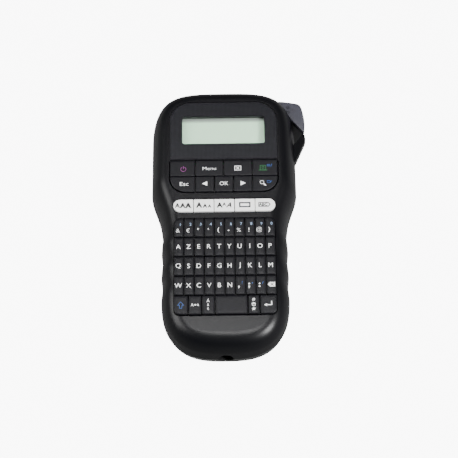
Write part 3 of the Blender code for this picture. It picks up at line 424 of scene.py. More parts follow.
# Aluminium, milled: pale, with tool marks in one direction.
HEAD_ALUMINIUM = surface("milled aluminium", "#d3d5d8", "#c3c5c9", 0.38, 0.3, 0.006, metallic=1.0, streak=2)
# Glass fibre board under green solder resist: semi-gloss, the weave just felt.
FR4 = surface("green FR4 board", "#1d6b38", "#175a2e", 0.4, 1.2, 0.01, ior=1.5)
# The cassette's ABS: a smoked dark grey, a shade lighter than the casing.
CASSETTE_ABS = surface("smoked moulded ABS", "#3d3e43", "#35363a", 0.4, 0.5, 0.01, ior=1.53)
# Polyester tape with a clear top layer, wound edge up: white, with the windings as fine lines.
LABEL_TAPE = surface("laminated label tape", "#f2f1ec", "#e7e6e0", 0.3, 0.15, 0.004, streak=2)
# Aluminised label film: a soft brushed grey, half as bright as bare metal.
FOIL = surface("brushed foil label", "#c9cacc", "#bfc0c3", 0.35, 0.2, 0.0, metallic=0.6, streak=0)

# Inks, screen printed on the keys or padded on the lever: flat colour with a slight sheen.
WHITE_INK = surface("white screen ink", "#ffffff", "#f4f4f4", 0.5, 0.4, 0.0)
BLUE_INK = surface("blue screen ink", "#244a86", "#204378", 0.5, 0.4, 0.0)
DIGIT_INK = surface("pale blue screen ink", "#93abc9", "#8aa2c0", 0.5, 0.4, 0.0)
MAGENTA_INK = surface("magenta screen ink", "#8a3c80", "#7c3673", 0.5, 0.4, 0.0)
GREEN_INK = surface("green screen ink", "#195a2f", "#154e28", 0.5, 0.4, 0.0)
BLACK_INK = surface("black screen ink", "#0b0b0d", "#08080a", 0.5, 0.4, 0.0)
GREY_INK = surface("grey screen ink", "#2e2e32", "#28282c", 0.5, 0.4, 0.0)
SCISSOR_INK = surface("dark pad print", "#3a3a40", "#34343a", 0.5, 0.4, 0.0)


def panel_film():
    """Polycarbonate film printed on its back: gloss, with a fine lattice of paler dots."""
    pitch = 0.9 * MM
    made, tree, shader = start_material("dotted polycarbonate film", Roughness=0.3, IOR=1.4)
    place = add_node(tree, "ShaderNodeTexCoord").outputs["Object"]
    cell = add_node(
        tree, "ShaderNodeVectorMath", {0: place, 1: (pitch, pitch, 1.0)}, operation="MODULO"
    )
    folded = add_node(tree, "ShaderNodeVectorMath", {0: cell.outputs["Vector"]}, operation="ABSOLUTE")
    centre = (pitch / 2, pitch / 2, 0.0)
    offset = add_node(
        tree, "ShaderNodeVectorMath", {0: folded.outputs["Vector"], 1: centre}, operation="SUBTRACT"
    )
    flat = add_node(
        tree,
        "ShaderNodeVectorMath",
        {0: offset.outputs["Vector"], 1: (1.0, 1.0, 0.0)},
        operation="MULTIPLY",
    )
    away = add_node(tree, "ShaderNodeVectorMath", {0: flat.outputs["Vector"]}, operation="LENGTH")
    dot = add_node(
        tree,
        "ShaderNodeMapRange",
        {
            "Value": away.outputs["Value"],
            "From Min": pitch * 0.22,
            "From Max": pitch * 0.36,
            "To Min": 1.0,
            "To Max": 0.0,
        },
    )
    colour = add_node(
        tree,
        "ShaderNodeMix",
        {"Factor": dot.outputs["Result"], "A": linear("#0b0b0e"), "B": linear("#26262c")},
        data_type="RGBA",
    )
    tree.links.new(colour.outputs["Result"], shader.inputs["Base Color"])
    rough = add_node(
        tree, "ShaderNodeMapRange", {"Value": dot.outputs["Result"], "To Min": 0.28, "To Max": 0.38}
    )
    tree.links.new(rough.outputs["Result"], shader.inputs["Roughness"])
    return made


def lcd_surface():
    """A reflective liquid crystal display at rest: grey-green, with its dot lattice just showing and a painted
    shadow darkening it along its top edge.
    """
    pitch = 0.48 * MM
    made, tree, shader = start_material("reflective liquid crystal", Roughness=0.35, IOR=1.5)
    place = add_node(tree, "ShaderNodeTexCoord").outputs["Object"]
    drift = add_node(tree, "ShaderNodeTexNoise", {"Vector": place, "Scale": 22.0, "Detail": 1.0})
    base = add_node(
        tree,
        "ShaderNodeMix",
        {"Factor": drift.outputs["Fac"], "A": linear("#b4e4bc"), "B": linear("#bdebc4")},
        data_type="RGBA",
    )
    cell = add_node(
        tree, "ShaderNodeVectorMath", {0: place, 1: (pitch, pitch, 1.0)}, operation="MODULO"
    )
    folded = add_node(tree, "ShaderNodeVectorMath", {0: cell.outputs["Vector"]}, operation="ABSOLUTE")
    parts = add_node(tree, "ShaderNodeSeparateXYZ", {"Vector": folded.outputs["Vector"]}).outputs
    nearest = add_node(tree, "ShaderNodeMath", {0: parts["X"], 1: parts["Y"]}, operation="MINIMUM")
    line = add_node(
        tree,
        "ShaderNodeMapRange",
        {
            "Value": nearest.outputs["Value"],
            "From Min": pitch * 0.06,
            "From Max": pitch * 0.16,
            "To Min": 0.10,
            "To Max": 0.0,
        },
    )
    colour = add_node(
        tree,
        "ShaderNodeMix",
        {"Factor": line.outputs["Result"], "A": base.outputs["Result"], "B": linear("#93a898")},
        data_type="RGBA",
    )
    # Painted shadow: the glass's colour is darkened along its top edge, where the window's upper wall would shade
    # it.
    edge = add_node(tree, "ShaderNodeSeparateXYZ", {"Vector": place}).outputs["Y"]
    shade = add_node(
        tree,
        "ShaderNodeMapRange",
        {
            "Value": edge,
            "From Min": (WINDOW_HIGH - 3.2) * MM,
            "From Max": (WINDOW_HIGH - 0.6) * MM,
            "To Max": 0.85,
        },
        interpolation_type="SMOOTHSTEP",
    )
    shaded = add_node(
        tree,
        "ShaderNodeMix",
        {"Factor": shade.outputs["Result"], "A": colour.outputs["Result"], "B": linear("#3a4440")},
        data_type="RGBA",
    )
    tree.links.new(shaded.outputs["Result"], shader.inputs["Base Color"])
    return made


def clear_window():
    """Clear PMMA, polished: only its gloss and a few fine scuffs show."""
    made, tree, shader = start_material("polished PMMA", Alpha=0.1, IOR=1.49)
    place = add_node(tree, "ShaderNodeTexCoord").outputs["Object"]
    scuff = add_node(tree, "ShaderNodeTexNoise", {"Vector": place, "Scale": 260.0, "Detail": 4.0})
    rough = add_node(
        tree, "ShaderNodeMapRange", {"Value": scuff.outputs["Fac"], "To Min": 0.02, "To Max": 0.12}
    )
    tree.links.new(rough.outputs["Result"], shader.inputs["Roughness"])
    return made


def cell_wrap():
    """Printed shrink film round a cell: a copper-coloured band at the nub end, black below it."""
    made, tree, shader = start_material("printed shrink film", Metallic=0.35, Roughness=0.28)
    place = add_node(tree, "ShaderNodeTexCoord").outputs["Object"]
    along = add_node(tree, "ShaderNodeSeparateXYZ", {"Vector": place}).outputs["Y"]
    low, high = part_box("battery_1")
    band = high.y - 0.3 * (high.y - low.y)
    step = add_node(
        tree,
        "ShaderNodeMapRange",
        {"Value": along, "From Min": band, "From Max": band + 0.2 * MM},
    )
    colour = add_node(
        tree,
        "ShaderNodeMix",
        {"Factor": step.outputs["Result"], "A": linear("#1d1f24"), "B": linear("#c07a3c")},
        data_type="RGBA",
    )
    tree.links.new(colour.outputs["Result"], shader.inputs["Base Color"])
    return made


PANEL_FILM = panel_film()
LCD = lcd_surface()
PMMA = clear_window()
CELL_WRAP = cell_wrap()


# ---------------------------------------------------------------- the casing's form


def half_width(y):
    """Half the casing's width where nothing rounds it, from the grip to the shoulder."""
    t = min(1.0, max(0.0, (y - SHOULDER_START) / (SHOULDER_END - SHOULDER_START)))
    return GRIP_HALF_WIDTH + (SHOULDER_HALF_WIDTH - GRIP_HALF_WIDTH) * t * t * (3 - 2 * t)


def scallop(y):
    """How far the finger grips dip into the side."""
    last = SCALLOP_FIRST - (SCALLOPS - 1) * SCALLOP_PITCH
    if not last - SCALLOP_PITCH / 2 < y < SCALLOP_FIRST + SCALLOP_PITCH / 2:
        return 0.0
    return SCALLOP_DEPTH * math.cos(math.pi * (y - SCALLOP_FIRST) / SCALLOP_PITCH) ** 2


def end_arc(start, depth, power, up):
    """A quarter of a rounded end, from its start on the side to the centre line."""
    points = []
    for i in range(END_STEPS):
        a = math.pi / 2 * i / END_STEPS
        y = start + up * depth * math.sin(a) ** (2 / power)
        points.append((half_width(y) * math.cos(a) ** (2 / power), y))
    return [*points, (0.0, start + up * depth)]


def casing_side():
    """The outline's right half, from the grip's end on the centre line to the display end."""
    low = end_arc(LENGTH_LOW + BOTTOM_DEPTH, BOTTOM_DEPTH, BOTTOM_POWER, -1)
    high = end_arc(LENGTH_HIGH - TOP_DEPTH, TOP_DEPTH, TOP_POWER, 1)
    steps = round((high[0][1] - low[0][1]) / SIDE_STEP)
    between = [low[0][1] + (high[0][1] - low[0][1]) * i / steps for i in range(1, steps)]
    points = [*reversed(low), *((half_width(y), y) for y in between), *high]
    return [(x - scallop(y) * min(1.0, x / half_width(y)), y) for x, y in points]


SIDE = casing_side()
LOOP = SIDE + [(-x, y) for x, y in reversed(SIDE[1:-1])]


def casing_outline(inset=0.0, grip_draft=0.0):
    """The casing seen from the front, drawn in by inset all round and by more at the grip's end."""
    drawn = []
    for i, (x, y) in enumerate(LOOP):
        before, after = LOOP[i - 1], LOOP[(i + 1) % len(LOOP)]
        along = Vector((after[0] - before[0], after[1] - before[1])).normalized()
        # Counter-clockwise round the casing, so -along.x is how much this spot faces the display end.
        reach = inset * (1 + TOP_ROLL * max(0.0, -along.x)) + grip_draft * max(0.0, along.x)
        drawn.append((x - along.y * reach, y + along.x * reach))
    return drawn


def face_height(y):
    """The keyboard face's height at a distance along the casing."""
    return FACE_HEIGHT + math.tan(FACE_SLOPE) * y


def front_ring(turn, wall=0.0, seam=0.0):
    """A ring of the front casing: turn runs from 0 at the parting line to 1 on the face."""
    a = math.pi / 2 * turn
    rise = math.sin(a) ** (2 / FACE_EDGE_POWER)
    inset = FACE_EDGE_INSET * (1 - max(0.0, math.cos(a)) ** (2 / FACE_EDGE_POWER))
    drop = FACE_THICKNESS if wall else 0.0
    return [
        (x, y, PARTING + rise * (face_height(y) - drop - PARTING))
        for x, y in casing_outline(inset + wall + seam)
    ]


def rear_ring(turn, wall=0.0, seam=0.0):
    """A ring of the rear casing: turn runs from 0 at the parting line to 1 on the back."""
    a = math.pi / 2 * turn
    drop = math.sin(a) ** (2 / BACK_EDGE_POWER)
    inset = BACK_EDGE_INSET * (1 - max(0.0, math.cos(a)) ** (2 / BACK_EDGE_POWER)) + BACK_DRAFT * drop
    floor = BACK_THICKNESS if wall == WALL else wall
    height = floor + (PARTING - GAP - floor) * (1 - drop)
    return [(x, y, height) for x, y in casing_outline(inset + wall + seam, GRIP_DRAFT * drop)]


def lifted(ring, by):
    """The same ring, moved up."""
    return [(x, y, z + by) for x, y, z in ring]


def from_side(*points):
    """Points given as (distance outside the shoulder, y)."""
    return [(SHOULDER_HALF_WIDTH + out, y) for out, y in points]


GUIDE_LOW, GUIDE_TIP = TAPE_LINE - 26.0, TAPE_LINE - 8.6
GUIDE = from_side(
    (-2.0, GUIDE_LOW - 3.0),
    (0.2, GUIDE_LOW),
    (7.4, GUIDE_TIP),
    (7.0, GUIDE_TIP + 4.4),
    (5.2, GUIDE_TIP + 4.6),
    (-2.0, GUIDE_TIP - 6.0),
)
SILL = TAPE_LINE - 2.5
LEVER_WINDOW = from_side(
    (-6.3, SILL),
    (12.0, SILL),
    (12.0, LEVER_WINDOW_HIGH),
    (-17.8, LEVER_WINDOW_HIGH),
    (-6.3, SILL + 11.5),
)


def flared_hole(name, outline_at):
    """A cutter for a hole in the face whose rim is chamfered. outline_at(grow) gives its outline."""
    levels = (
        (-2 * FACE_THICKNESS, 0.0),
        (-RIM_CHAMFER, 0.0),
        (0.2, RIM_CHAMFER + 0.2),
        (4.0, RIM_CHAMFER + 0.2),
    )
    rings = [[(x, y, height) for x, y in outline_at(grow)] for height, grow in levels]
    return on_face(loft(name, rings))


def panel_outline(grow=0.0):
    """The display panel: square-cornered below, well rounded above."""
    corner = PANEL_CORNER + grow
    x = (-PANEL_HALF_WIDTH - grow, PANEL_HALF_WIDTH + grow)
    radii = (0.8 + grow, 0.8 + grow, corner, corner)
    return rounded(x, (PANEL_LOW - grow, PANEL_HIGH + grow), radii, 12)


def window_outline(grow=0.0):
    """The window in the panel, over the display's glass."""
    x = (-WINDOW_HALF_WIDTH - grow, WINDOW_HALF_WIDTH + grow)
    return rounded(x, (WINDOW_LOW - grow, WINDOW_HIGH + grow), (WINDOW_CORNER + grow,) * 4)


def function_outline(grow=0.0):
    """The function keys' opening, which carries the panel's shape on downwards."""
    x = (-PANEL_HALF_WIDTH - grow, PANEL_HALF_WIDTH + grow)
    corner = FUNCTION_CORNER + grow
    radii = (corner, corner, 0.8 + grow, 0.8 + grow)
    return rounded(x, (FUNCTION_LOW - grow, FUNCTION_HIGH + grow), radii, 12)


def style_outline(grow=0.0):
    """The style keys' opening, a long slot with round ends."""
    x = (-STYLE_HALF_WIDTH - grow, STYLE_HALF_WIDTH + grow)
    corner = (STYLE_HIGH - STYLE_LOW) / 2 - 0.05 + grow
    return rounded(x, (STYLE_LOW - grow, STYLE_HIGH + grow), (corner,) * 4, 12)


def keypad_outline(grow=0.0):
    """The opening for the letter rows and the bottom row."""
    x = (-KEYPAD_HALF_WIDTH - grow, KEYPAD_HALF_WIDTH + grow)
    return rounded(x, (KEYPAD_LOW - grow, KEYPAD_HIGH + grow), (KEYPAD_CORNER + grow,) * 4)


def inlet_hole(name):
    """The round hole in the grip's end wall, in front of the power inlet."""
    hole = rod(name, (0, 0), JACK_HOLE_RADIUS, -6.0, 6.0, 48)
    turn = Matrix.Rotation(math.pi / 2, 4, "X")
    return placed(hole, Matrix.Translation(Vector((0, LENGTH_LOW, JACK_HEIGHT)) * MM) @ turn)


def strap_hole(number, x, width):
    """A small slot in the end wall, just under the parting line."""
    y = next(b[1] for a, b in zip(SIDE, SIDE[1:]) if a[0] <= x <= b[0])
    outline = rounded((-width / 2, width / 2), (-1.6, 1.6), (0.7,) * 4, 4)
    hole = slab(f"strap hole {number}", outline, -5.0, 4.5)
    upright = Matrix.Rotation(math.pi / 2, 4, "X")
    turn = Matrix.Rotation(math.atan2(y - LENGTH_LOW + 9.0, x) * 1.1, 4, "Z")
    return placed(hole, Matrix.Translation(Vector((x, y, PARTING - 4.2)) * MM) @ turn @ upright)


def build_front_casing():
    """The front half: satin black, its rim rolling over into the keyboard face."""
    turns = [i / EDGE_STEPS for i in range(EDGE_STEPS + 1)]
    outer = [front_ring(0.0, seam=SEAM_CHAMFER), lifted(front_ring(0.0), SEAM_CHAMFER)]
    outer += [front_ring(t) for t in turns[3:]]
    casing = loft("front_casing", outer)
    guide = slab("tape_guide", GUIDE, GUIDE_BOTTOM, GUIDE_TOP)
    round_edges(guide, lambda p: p.x > SHOULDER_HALF_WIDTH + 4.0, 0.7, 3)
    fuse(casing, guide)
    inner = [lifted(front_ring(0.0, WALL), -1.0)] + [front_ring(t, WALL) for t in turns[4::3]]
    carve(
        casing,
        loft("front hollow", inner),
        on_face(slab("panel pocket", panel_outline(GAP), -PANEL_DEPTH, 4.0)),
        flared_hole("function opening", function_outline),
        flared_hole("style opening", style_outline),
        flared_hole("keypad opening", keypad_outline),
        on_face(slab("window opening", window_outline(GAP), -2 * FACE_THICKNESS, 4.0)),
        slab("front lever window", LEVER_WINDOW, PARTING - 9.0, LEVER_TOP + 0.4),
        inlet_hole("front inlet"),
    )
    posts = [
        rod(f"front_post_{i}", (at.x, at.y), 3.2, PARTING + GAP, PARTING + 11.0)
        for i, at in enumerate(SCREWS_AT)
    ]
    pilots = [
        rod(f"pilot_{i}", (at.x, at.y), SCREW_HOLE_RADIUS, PARTING - 1.0, PARTING + 8.0)
        for i, at in enumerate(SCREWS_AT)
    ]
    fuse(casing, *posts)
    carve(casing, *pilots)
    smooth(casing)
    modify(casing, "WEIGHTED_NORMAL", keep_sharp=True)
    return finish(casing, "housing", CASING_ABS, ["front_case"])


# ---------------------------------------------------------------- the casing's back half


def tape_bay_outline(grow=0.0):
    """The tape bay: a rectangle with an alcove beside the lever for the platen and the head."""
    left, low = CASSETTE_AT[0].x - 1.0 - grow, CASSETTE_AT[0].y - 1.5 - grow
    right, high = BAY_RIGHT + grow, TAPE_LINE + 14.0 + grow
    alcove, step = PLATEN_AT.x - 12.0 - grow, TAPE_LINE + 1.5 + grow
    corner = BAY_CORNER + 0.6 * grow
    return [
        (left, low),
        (right, low),
        (right, high - corner),
        (right - corner, high),
        (alcove, high),
        (alcove, step),
        (left, step),
    ]


def cover_outline(grow=0.0):
    """The rear cover follows the back's own outline and stops short of the upper screws."""
    inset = BACK_EDGE_INSET + BACK_DRAFT + 1.2 - grow
    ends = (COVER_LOW - grow, COVER_HIGH + grow)
    ring = casing_outline(inset, GRIP_DRAFT)
    points = []
    for here, onward in zip(ring, ring[1:] + ring[:1]):
        if ends[0] + GAP < here[1] < ends[1] - GAP:
            points.append(here)
        for end in ends:
            if (here[1] - end) * (onward[1] - end) < 0:
                share = (end - here[1]) / (onward[1] - here[1])
                points.append((here[0] + share * (onward[0] - here[0]), end))
    return points


def build_rear_casing():
    """The back half: duller black, with the tape bay, the battery bay and the cover's seat."""
    turns = [i / 10 for i in range(11)]
    outer = [rear_ring(t) for t in reversed(turns[2:])]
    outer += [lifted(rear_ring(0.0), -SEAM_CHAMFER), rear_ring(0.0, seam=SEAM_CHAMFER)]
    casing = loft("rear_casing", outer)
    inner = [rear_ring(t, WALL) for t in reversed(turns[3:])] + [lifted(rear_ring(0.0, WALL), 1.0)]
    carve(casing, loft("rear_hollow", inner))
    walls = slab("tape_bay_walls", tape_bay_outline(2.0), 0.6, BAY_HEIGHT + BAY_ROOF)
    fuse(
        walls,
        block(
            "battery_bay_walls",
            (BATTERY_X[0] - 1.6, BATTERY_X[1] + 1.6),
            (BATTERY_Y[0] - 1.6, BATTERY_Y[1] + 1.6),
            (0.6, BATTERY_ROOF + 2.0),
        ),
        block(
            "bay_bridge",
            (BATTERY_X[0] - 1.0, BATTERY_X[1] + 1.0),
            (BATTERY_Y[1] - 1.0, CASSETTE_AT[0].y),
            (0.6, BAY_FLOOR + 3.4),
        ),
        *(
            rod(f"screw_post_{i}", (at.x, at.y), 3.8, 0.6, PARTING - GAP)
            for i, at in enumerate(SCREWS_AT)
        ),
    )
    inside = [rear_ring(t, 0.7) for t in (1.0, 0.7, 0.3, 0.0)]
    combine(walls, [loft("rear_core", inside)], "INTERSECT")
    fuse(casing, walls)
    battery_z = (-1.0, BATTERY_ROOF)
    screw_holes = [
        rod(f"screw_hole_{i}", (at.x, at.y), SCREW_HOLE_RADIUS, -1.0, PARTING + 1.0)
        for i, at in enumerate(SCREWS_AT)
    ]
    head_holes = [
        rod(f"head_hole_{i}", (at.x, at.y), SCREW_HEAD_RADIUS + GAP, -1.0, 5.2)
        for i, at in enumerate(SCREWS_AT)
    ]
    carve(
        casing,
        slab("tape_bay", tape_bay_outline(), -1.0, BAY_HEIGHT),
        block("battery_bay", BATTERY_X, BATTERY_Y, battery_z),
        slab("cover_seat", cover_outline(GAP), -1.0, BAY_FLOOR + 0.3),
        slab("rear_lever_window", LEVER_WINDOW, BAY_FLOOR + 1.7, PARTING + 5.0),
        block(
            "tape_slot",
            (BAY_RIGHT - 1.0, SHOULDER_HALF_WIDTH + 3.0),
            (TAPE_LINE - 1.4, TAPE_LINE + 1.6),
            (4.5, 20.0),
        ),
        inlet_hole("rear_inlet"),
        *(strap_hole(i, x, w) for i, (x, w) in enumerate(STRAP_HOLES, 1)),
        rod("platen_slot", (PLATEN_AT.x, PLATEN_AT.y + 1.0), 3.2, 10.0, BAY_HEIGHT + BAY_ROOF + 1.0),
        rod("takeup_hole", (TAKEUP_AT.x, TAKEUP_AT.y), 2.6, 10.0, BAY_HEIGHT + BAY_ROOF + 1.0),
        *screw_holes,
        *head_holes,
    )
    stud = (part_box("roller_arm")[1].x / MM - 2.6, TAPE_LINE + 6.0)
    fuse(casing, rod("roller_arm_stud", stud, 1.5, 4.0, BAY_HEIGHT + 1.0))
    smooth(casing)
    modify(casing, "WEIGHTED_NORMAL", keep_sharp=True)
    return finish(casing, "housing", REAR_ABS, ["rear_case"])


def build_rear_cover():
    """The cover over both bays: a thumb catch with ribs, an arrow and a rating plate's recess."""
    cover = slab("rear_cover_door", cover_outline(-GAP), 0.0, BAY_FLOOR)
    round_edges(cover, lambda p: p.z < 0.01, 0.45)
    catch_y = COVER_HIGH - 5.0
    ribs = [
        slab(
            f"rib_{i}",
            rounded((-15.0, 15.0), (catch_y + 2.2 * i, catch_y + 2.2 * i + 1.1), (0.5,) * 4, 4),
            -1.0,
            0.45,
        )
        for i in range(-3, 1)
    ]
    arrow_outline = [(-2.6, catch_y - 10.5), (2.6, catch_y - 10.5), (0.0, catch_y - 14.5)]
    arrow = slab("arrow", arrow_outline, -1.0, 0.35)
    plate = rounded((-24.0, 24.0), (-14.0, 14.0), (2.0,) * 4)
    carve(cover, *ribs, arrow, slab("plate_recess", plate, -1.0, 0.3))
    smooth(cover)
    finish(cover, "cover", REAR_ABS, ["rear_cover"])
    label = slab("rating_plate", rounded((-23.6, 23.6), (-13.6, 13.6), (1.7,) * 4), 0.18, 0.3)
    finish(label, "cover", FOIL)
    marks = [
        *ink_ring((-14.0, 4.5), 2.6, 0.4, 40, 320),
        ink_disc((-14.0, 4.5), 0.8),
        *ink_line([(-14.0 + 0.8, 4.5), (-8.6, 4.5)], 0.4),
        *ink_line([(-14.0 - 2.6, 4.5), (-19.4, 4.5)], 0.4),
        *ink_line([(-21.5, 4.5), (-20.3, 4.5)], 0.4),
        *ink_line([(-7.6, 4.5), (-6.2, 4.5)], 0.4),
        *ink_line([(-6.9, 3.8), (-6.9, 5.2)], 0.4),
        ink_words("6 x AAA", 4.0, 8.0, 4.5),
        *ink_line([(-20.0, -3.0), (20.0, -3.0)], 0.25),
        *ink_line([(-20.0, -6.0), (9.0, -6.0)], 0.25),
    ]
    legend = merge("rating_plate_marks", marks)
    # Seen from behind, so the marks are turned over to read the right way round.
    placed(legend, Matrix.Translation((0, 0, 0.18 * MM)) @ Matrix.Rotation(math.pi, 4, "Y"))
    finish(legend, "cover", BLACK_INK)


def build_screws():
    """Pan head screws with a cross recess, seen from the back."""
    for i, at in enumerate(SCREWS_AT, 1):
        head = rod(f"screw_head_{i}", (at.x, at.y), SCREW_HEAD_RADIUS, 3.0, 4.9, 40)
        round_edges(head, lambda p: p.z < 3.01, 0.7, 4)
        for reach_x, reach_y in ((1.7, 0.4), (0.4, 1.7)):
            slot_x, slot_y = (at.x - reach_x, at.x + reach_x), (at.y - reach_y, at.y + reach_y)
            carve(head, block("slot", slot_x, slot_y, (2.0, 4.2)))
        shank = rod(f"shank_{i}", (at.x, at.y), 1.25, 4.8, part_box(f"case_screw_{i}")[1].z / MM, 24)
        screw = merge(f"screw_{i}", [head, shank])
        smooth(screw)
        finish(screw, "housing", PLATED_STEEL, [f"case_screw_{i}"])


# ---------------------------------------------------------------- printed marks


def ink_words(text, size, x, y, bold=0.0, slant=0.0, wide=1.0):
    """Screen-printed letters, centred on a point of the face."""
    deselect()
    bpy.ops.object.text_add()
    words = bpy.context.object
    words.data.body = text
    words.data.size = size * MM
    words.data.resolution_u = 4
    words.data.extrude = INK / 2 * MM
    words.data.offset = bold * size * MM
    words.data.shear = slant
    bpy.ops.object.convert(target="MESH")
    words = bpy.context.object
    placed(words, Matrix.Diagonal((wide, 1.0, 1.0, 1.0)))
    corners = [v.co for v in words.data.vertices]
    middle = [(min(c[i] for c in corners) + max(c[i] for c in corners)) / 2 for i in range(3)]
    return placed(words, Matrix.Translation(Vector((x * MM, y * MM, INK / 2 * MM)) - Vector(middle)))


def ink_patch(points):
    """A flat patch of ink."""
    return slab("patch", points, 0.0, INK)


def ink_line(points, width, closed=False):
    """A drawn line: one flat bar for each stretch, square-ended."""
    ends = list(points) + ([points[0]] if closed else [])
    bars = []
    for a, b in zip(ends, ends[1:]):
        along = Vector((b[0] - a[0], b[1] - a[1])).normalized() * width / 2
        across = Vector((-along.y, along.x))
        start, end = Vector(a) - along, Vector(b) + along
        corners = (start - across, end - across, end + across, start + across)
        bars.append(ink_patch([tuple(corner) for corner in corners]))
    return bars


def ink_box(centre, width, height, line):
    """A drawn rectangle."""
    x, y = centre
    corners = [(x - width / 2, y - height / 2), (x + width / 2, y - height / 2)]
    corners += [(x + width / 2, y + height / 2), (x - width / 2, y + height / 2)]
    return ink_line(corners, line, closed=True)


def ink_ring(centre, radius, line, start=0, end=360):
    """A drawn circle, or a part of one."""
    return ink_line(arc(centre, radius, start, end, 20), line)


def ink_disc(centre, radius):
    """A round dot of ink."""
    return ink_patch(arc(centre, radius, 0, 345, 23))


def print_on(name, marks, ink, node, body, lift=0.0):
    """Puts printed marks on the top of a key, or of the node that stands for it."""
    top = face_box(node)[2][1]
    legend = merge(name, marks)
    placed(legend, Matrix.Translation((0, 0, (top + INK_LIFT + lift) * MM)))
    on_face(legend)
    return finish(legend, body, ink)


# ---------------------------------------------------------------- keys


def face_box(node):
    """A CAD node's extent along the face's own x, y and height, in millimetres."""
    back = FACE.inverted()
    corners = [back @ v.co / MM for v in frame["nodes"][node].data.vertices]
    return [(min(c[i] for c in corners), max(c[i] for c in corners)) for i in range(3)]


# A key's rim as (height above its straight side, distance in from it), and the dome's own flat.
KEY_CROWN = ((0.0, 0.0), (0.55, 0.03), (0.82, 0.16), (1.0, 0.42), (1.1, 0.85), (1.16, 1.4), (1.19, 2.0))
CROWN_HEIGHT, CROWN_INSET = 1.2, 2.6


def key_block(name, x, y, z, radii, crown=1.0):
    """One key: straight sides, an eased rim and a top that is very slightly domed."""
    height = z[1] - CROWN_HEIGHT * crown
    top = CROWN_INSET * crown
    rings = [[(*p, z[0]) for p in rounded(x, y, radii, 5)]]
    for rise, inset in KEY_CROWN:
        inset *= crown
        shrunk = [max(0.05, r - inset) for r in radii]
        drawn_x, drawn_y = (x[0] + inset, x[1] - inset), (y[0] + inset, y[1] - inset)
        rings.append([(*p, height + rise * crown) for p in rounded(drawn_x, drawn_y, shrunk, 5)])
    flat_x, flat_y = (x[0] + top, x[1] - top), (y[0] + top, y[1] - top)
    flat_radii = [max(0.05, r - top) for r in radii]
    rings.append([(*p, z[1]) for p in rounded(flat_x, flat_y, flat_radii, 5)])
    return on_face(loft(name, rings))


def build_single_keys():
    """The function keys, the style keys and the bottom row: one rubber key on each slide."""
    big, small = FUNCTION_CORNER - 0.4, 0.6
    function_radii = {
        "escape_key": (big, small, small, small),
        "search_key": (small, big, small, small),
    }
    for node in FUNCTION_KEYS:
        radii = function_radii.get(node, (small,) * 4)
        key = key_block(f"{node}_cap", *face_box(node), radii, crown=0.4)
        finish(smooth(key), f"{node}_body", KEY_SILICONE, [node])
    end = (STYLE_HIGH - STYLE_LOW - 0.8) / 2
    for i, node in enumerate(STYLE_KEYS):
        left, right = (end if i == 0 else 0.3), (end if i == len(STYLE_KEYS) - 1 else 0.3)
        key = key_block(f"{node}_cap", *face_box(node), (left, right, right, left), crown=0.45)
        finish(smooth(key), f"{node}_body", STYLE_SILICONE, [node])
    corner = KEYPAD_CORNER - 0.4
    bottom_radii = {
        "shift_key": (corner, small, small, small),
        "enter_key": (small, corner, small, small),
    }
    for node in BOTTOM_KEYS:
        key = key_block(f"{node}_cap", *face_box(node), bottom_radii.get(node, (small,) * 4))
        finish(smooth(key), f"{node}_body", KEY_SILICONE, [node])


COLUMNS = 10
FUNCTION_KEYS = (
    "power_key",
    "menu_key",
    "clear_key",
    "print_key",
    "escape_key",
    "left_key",
    "ok_key",
    "right_key",
    "search_key",
)
STYLE_KEYS = ("font_key", "size_key", "style_key", "frame_key", "layout_key")
LETTER_ROWS = {
    "number_key_row": "&€\"'(-%!@)",
    "upper_letter_row": "AZERTYUIOP",
    "middle_letter_row": "QSDFGHJKLM",
    "lower_letter_row": "WXCVBN,;: ",
}
BOTTOM_KEYS = ("shift_key", "caps_key", "accent_key", "space_key", "symbol_key", "enter_key")
LETTER_SIZE = 4.7
SYMBOL_SIZE = 4.2
DIGIT_SIZE = 2.9


def row_body(node):
    """The body that carries a row of keys."""
    return node.replace("_key_row", "_row").replace("_letter_row", "_row") + "_body"


def column_centre(node, column):
    """The middle of one of a row's ten keys, across the face."""
    x = face_box(node)[0]
    pitch = (x[1] - x[0] + 0.2) / COLUMNS
    return x[0] - 0.1 + pitch * (column + 0.5)


def build_letter_rows():
    """Four rows of ten keys, each row on its common web."""
    for node, letters in LETTER_ROWS.items():
        x, y, z = face_box(node)
        pitch = (x[1] - x[0] + 0.2) / COLUMNS
        y_key = (y[0] + 0.1, y[1] - 0.1)
        middle = (y[0] + y[1]) / 2
        for column in range(COLUMNS):
            centre = column_centre(node, column)
            radii = [0.6] * 4
            if node == "number_key_row" and column == 0:
                radii[3] = KEYPAD_CORNER - 0.5
            if node == "number_key_row" and column == COLUMNS - 1:
                radii[2] = KEYPAD_CORNER - 0.5
            x_key = (centre - pitch / 2 + 0.25, centre + pitch / 2 - 0.25)
            key = key_block(f"{node}_key_{column + 1}", x_key, y_key, (z[0] + 1.0, z[1]), radii)
            replaced = [node] if column == 0 else ()
            finish(smooth(key), row_body(node), KEY_SILICONE, replaced)
        web_outline = rounded((x[0] + 0.8, x[1] - 0.8), y, (2.0,) * 4)
        web = on_face(slab(f"{node}_web", web_outline, z[0], z[0] + 1.2))
        finish(web, row_body(node), KEY_SILICONE)
        if node == "number_key_row":
            print_numbers(node, letters, middle)
        elif node == "lower_letter_row":
            print_lower_row(node, letters, middle)
        else:
            marks = [
                ink_words(c, LETTER_SIZE, column_centre(node, i) - 0.35, middle)
                for i, c in enumerate(letters)
            ]
            print_on(f"{node}_legends", marks, WHITE_INK, node, row_body(node))


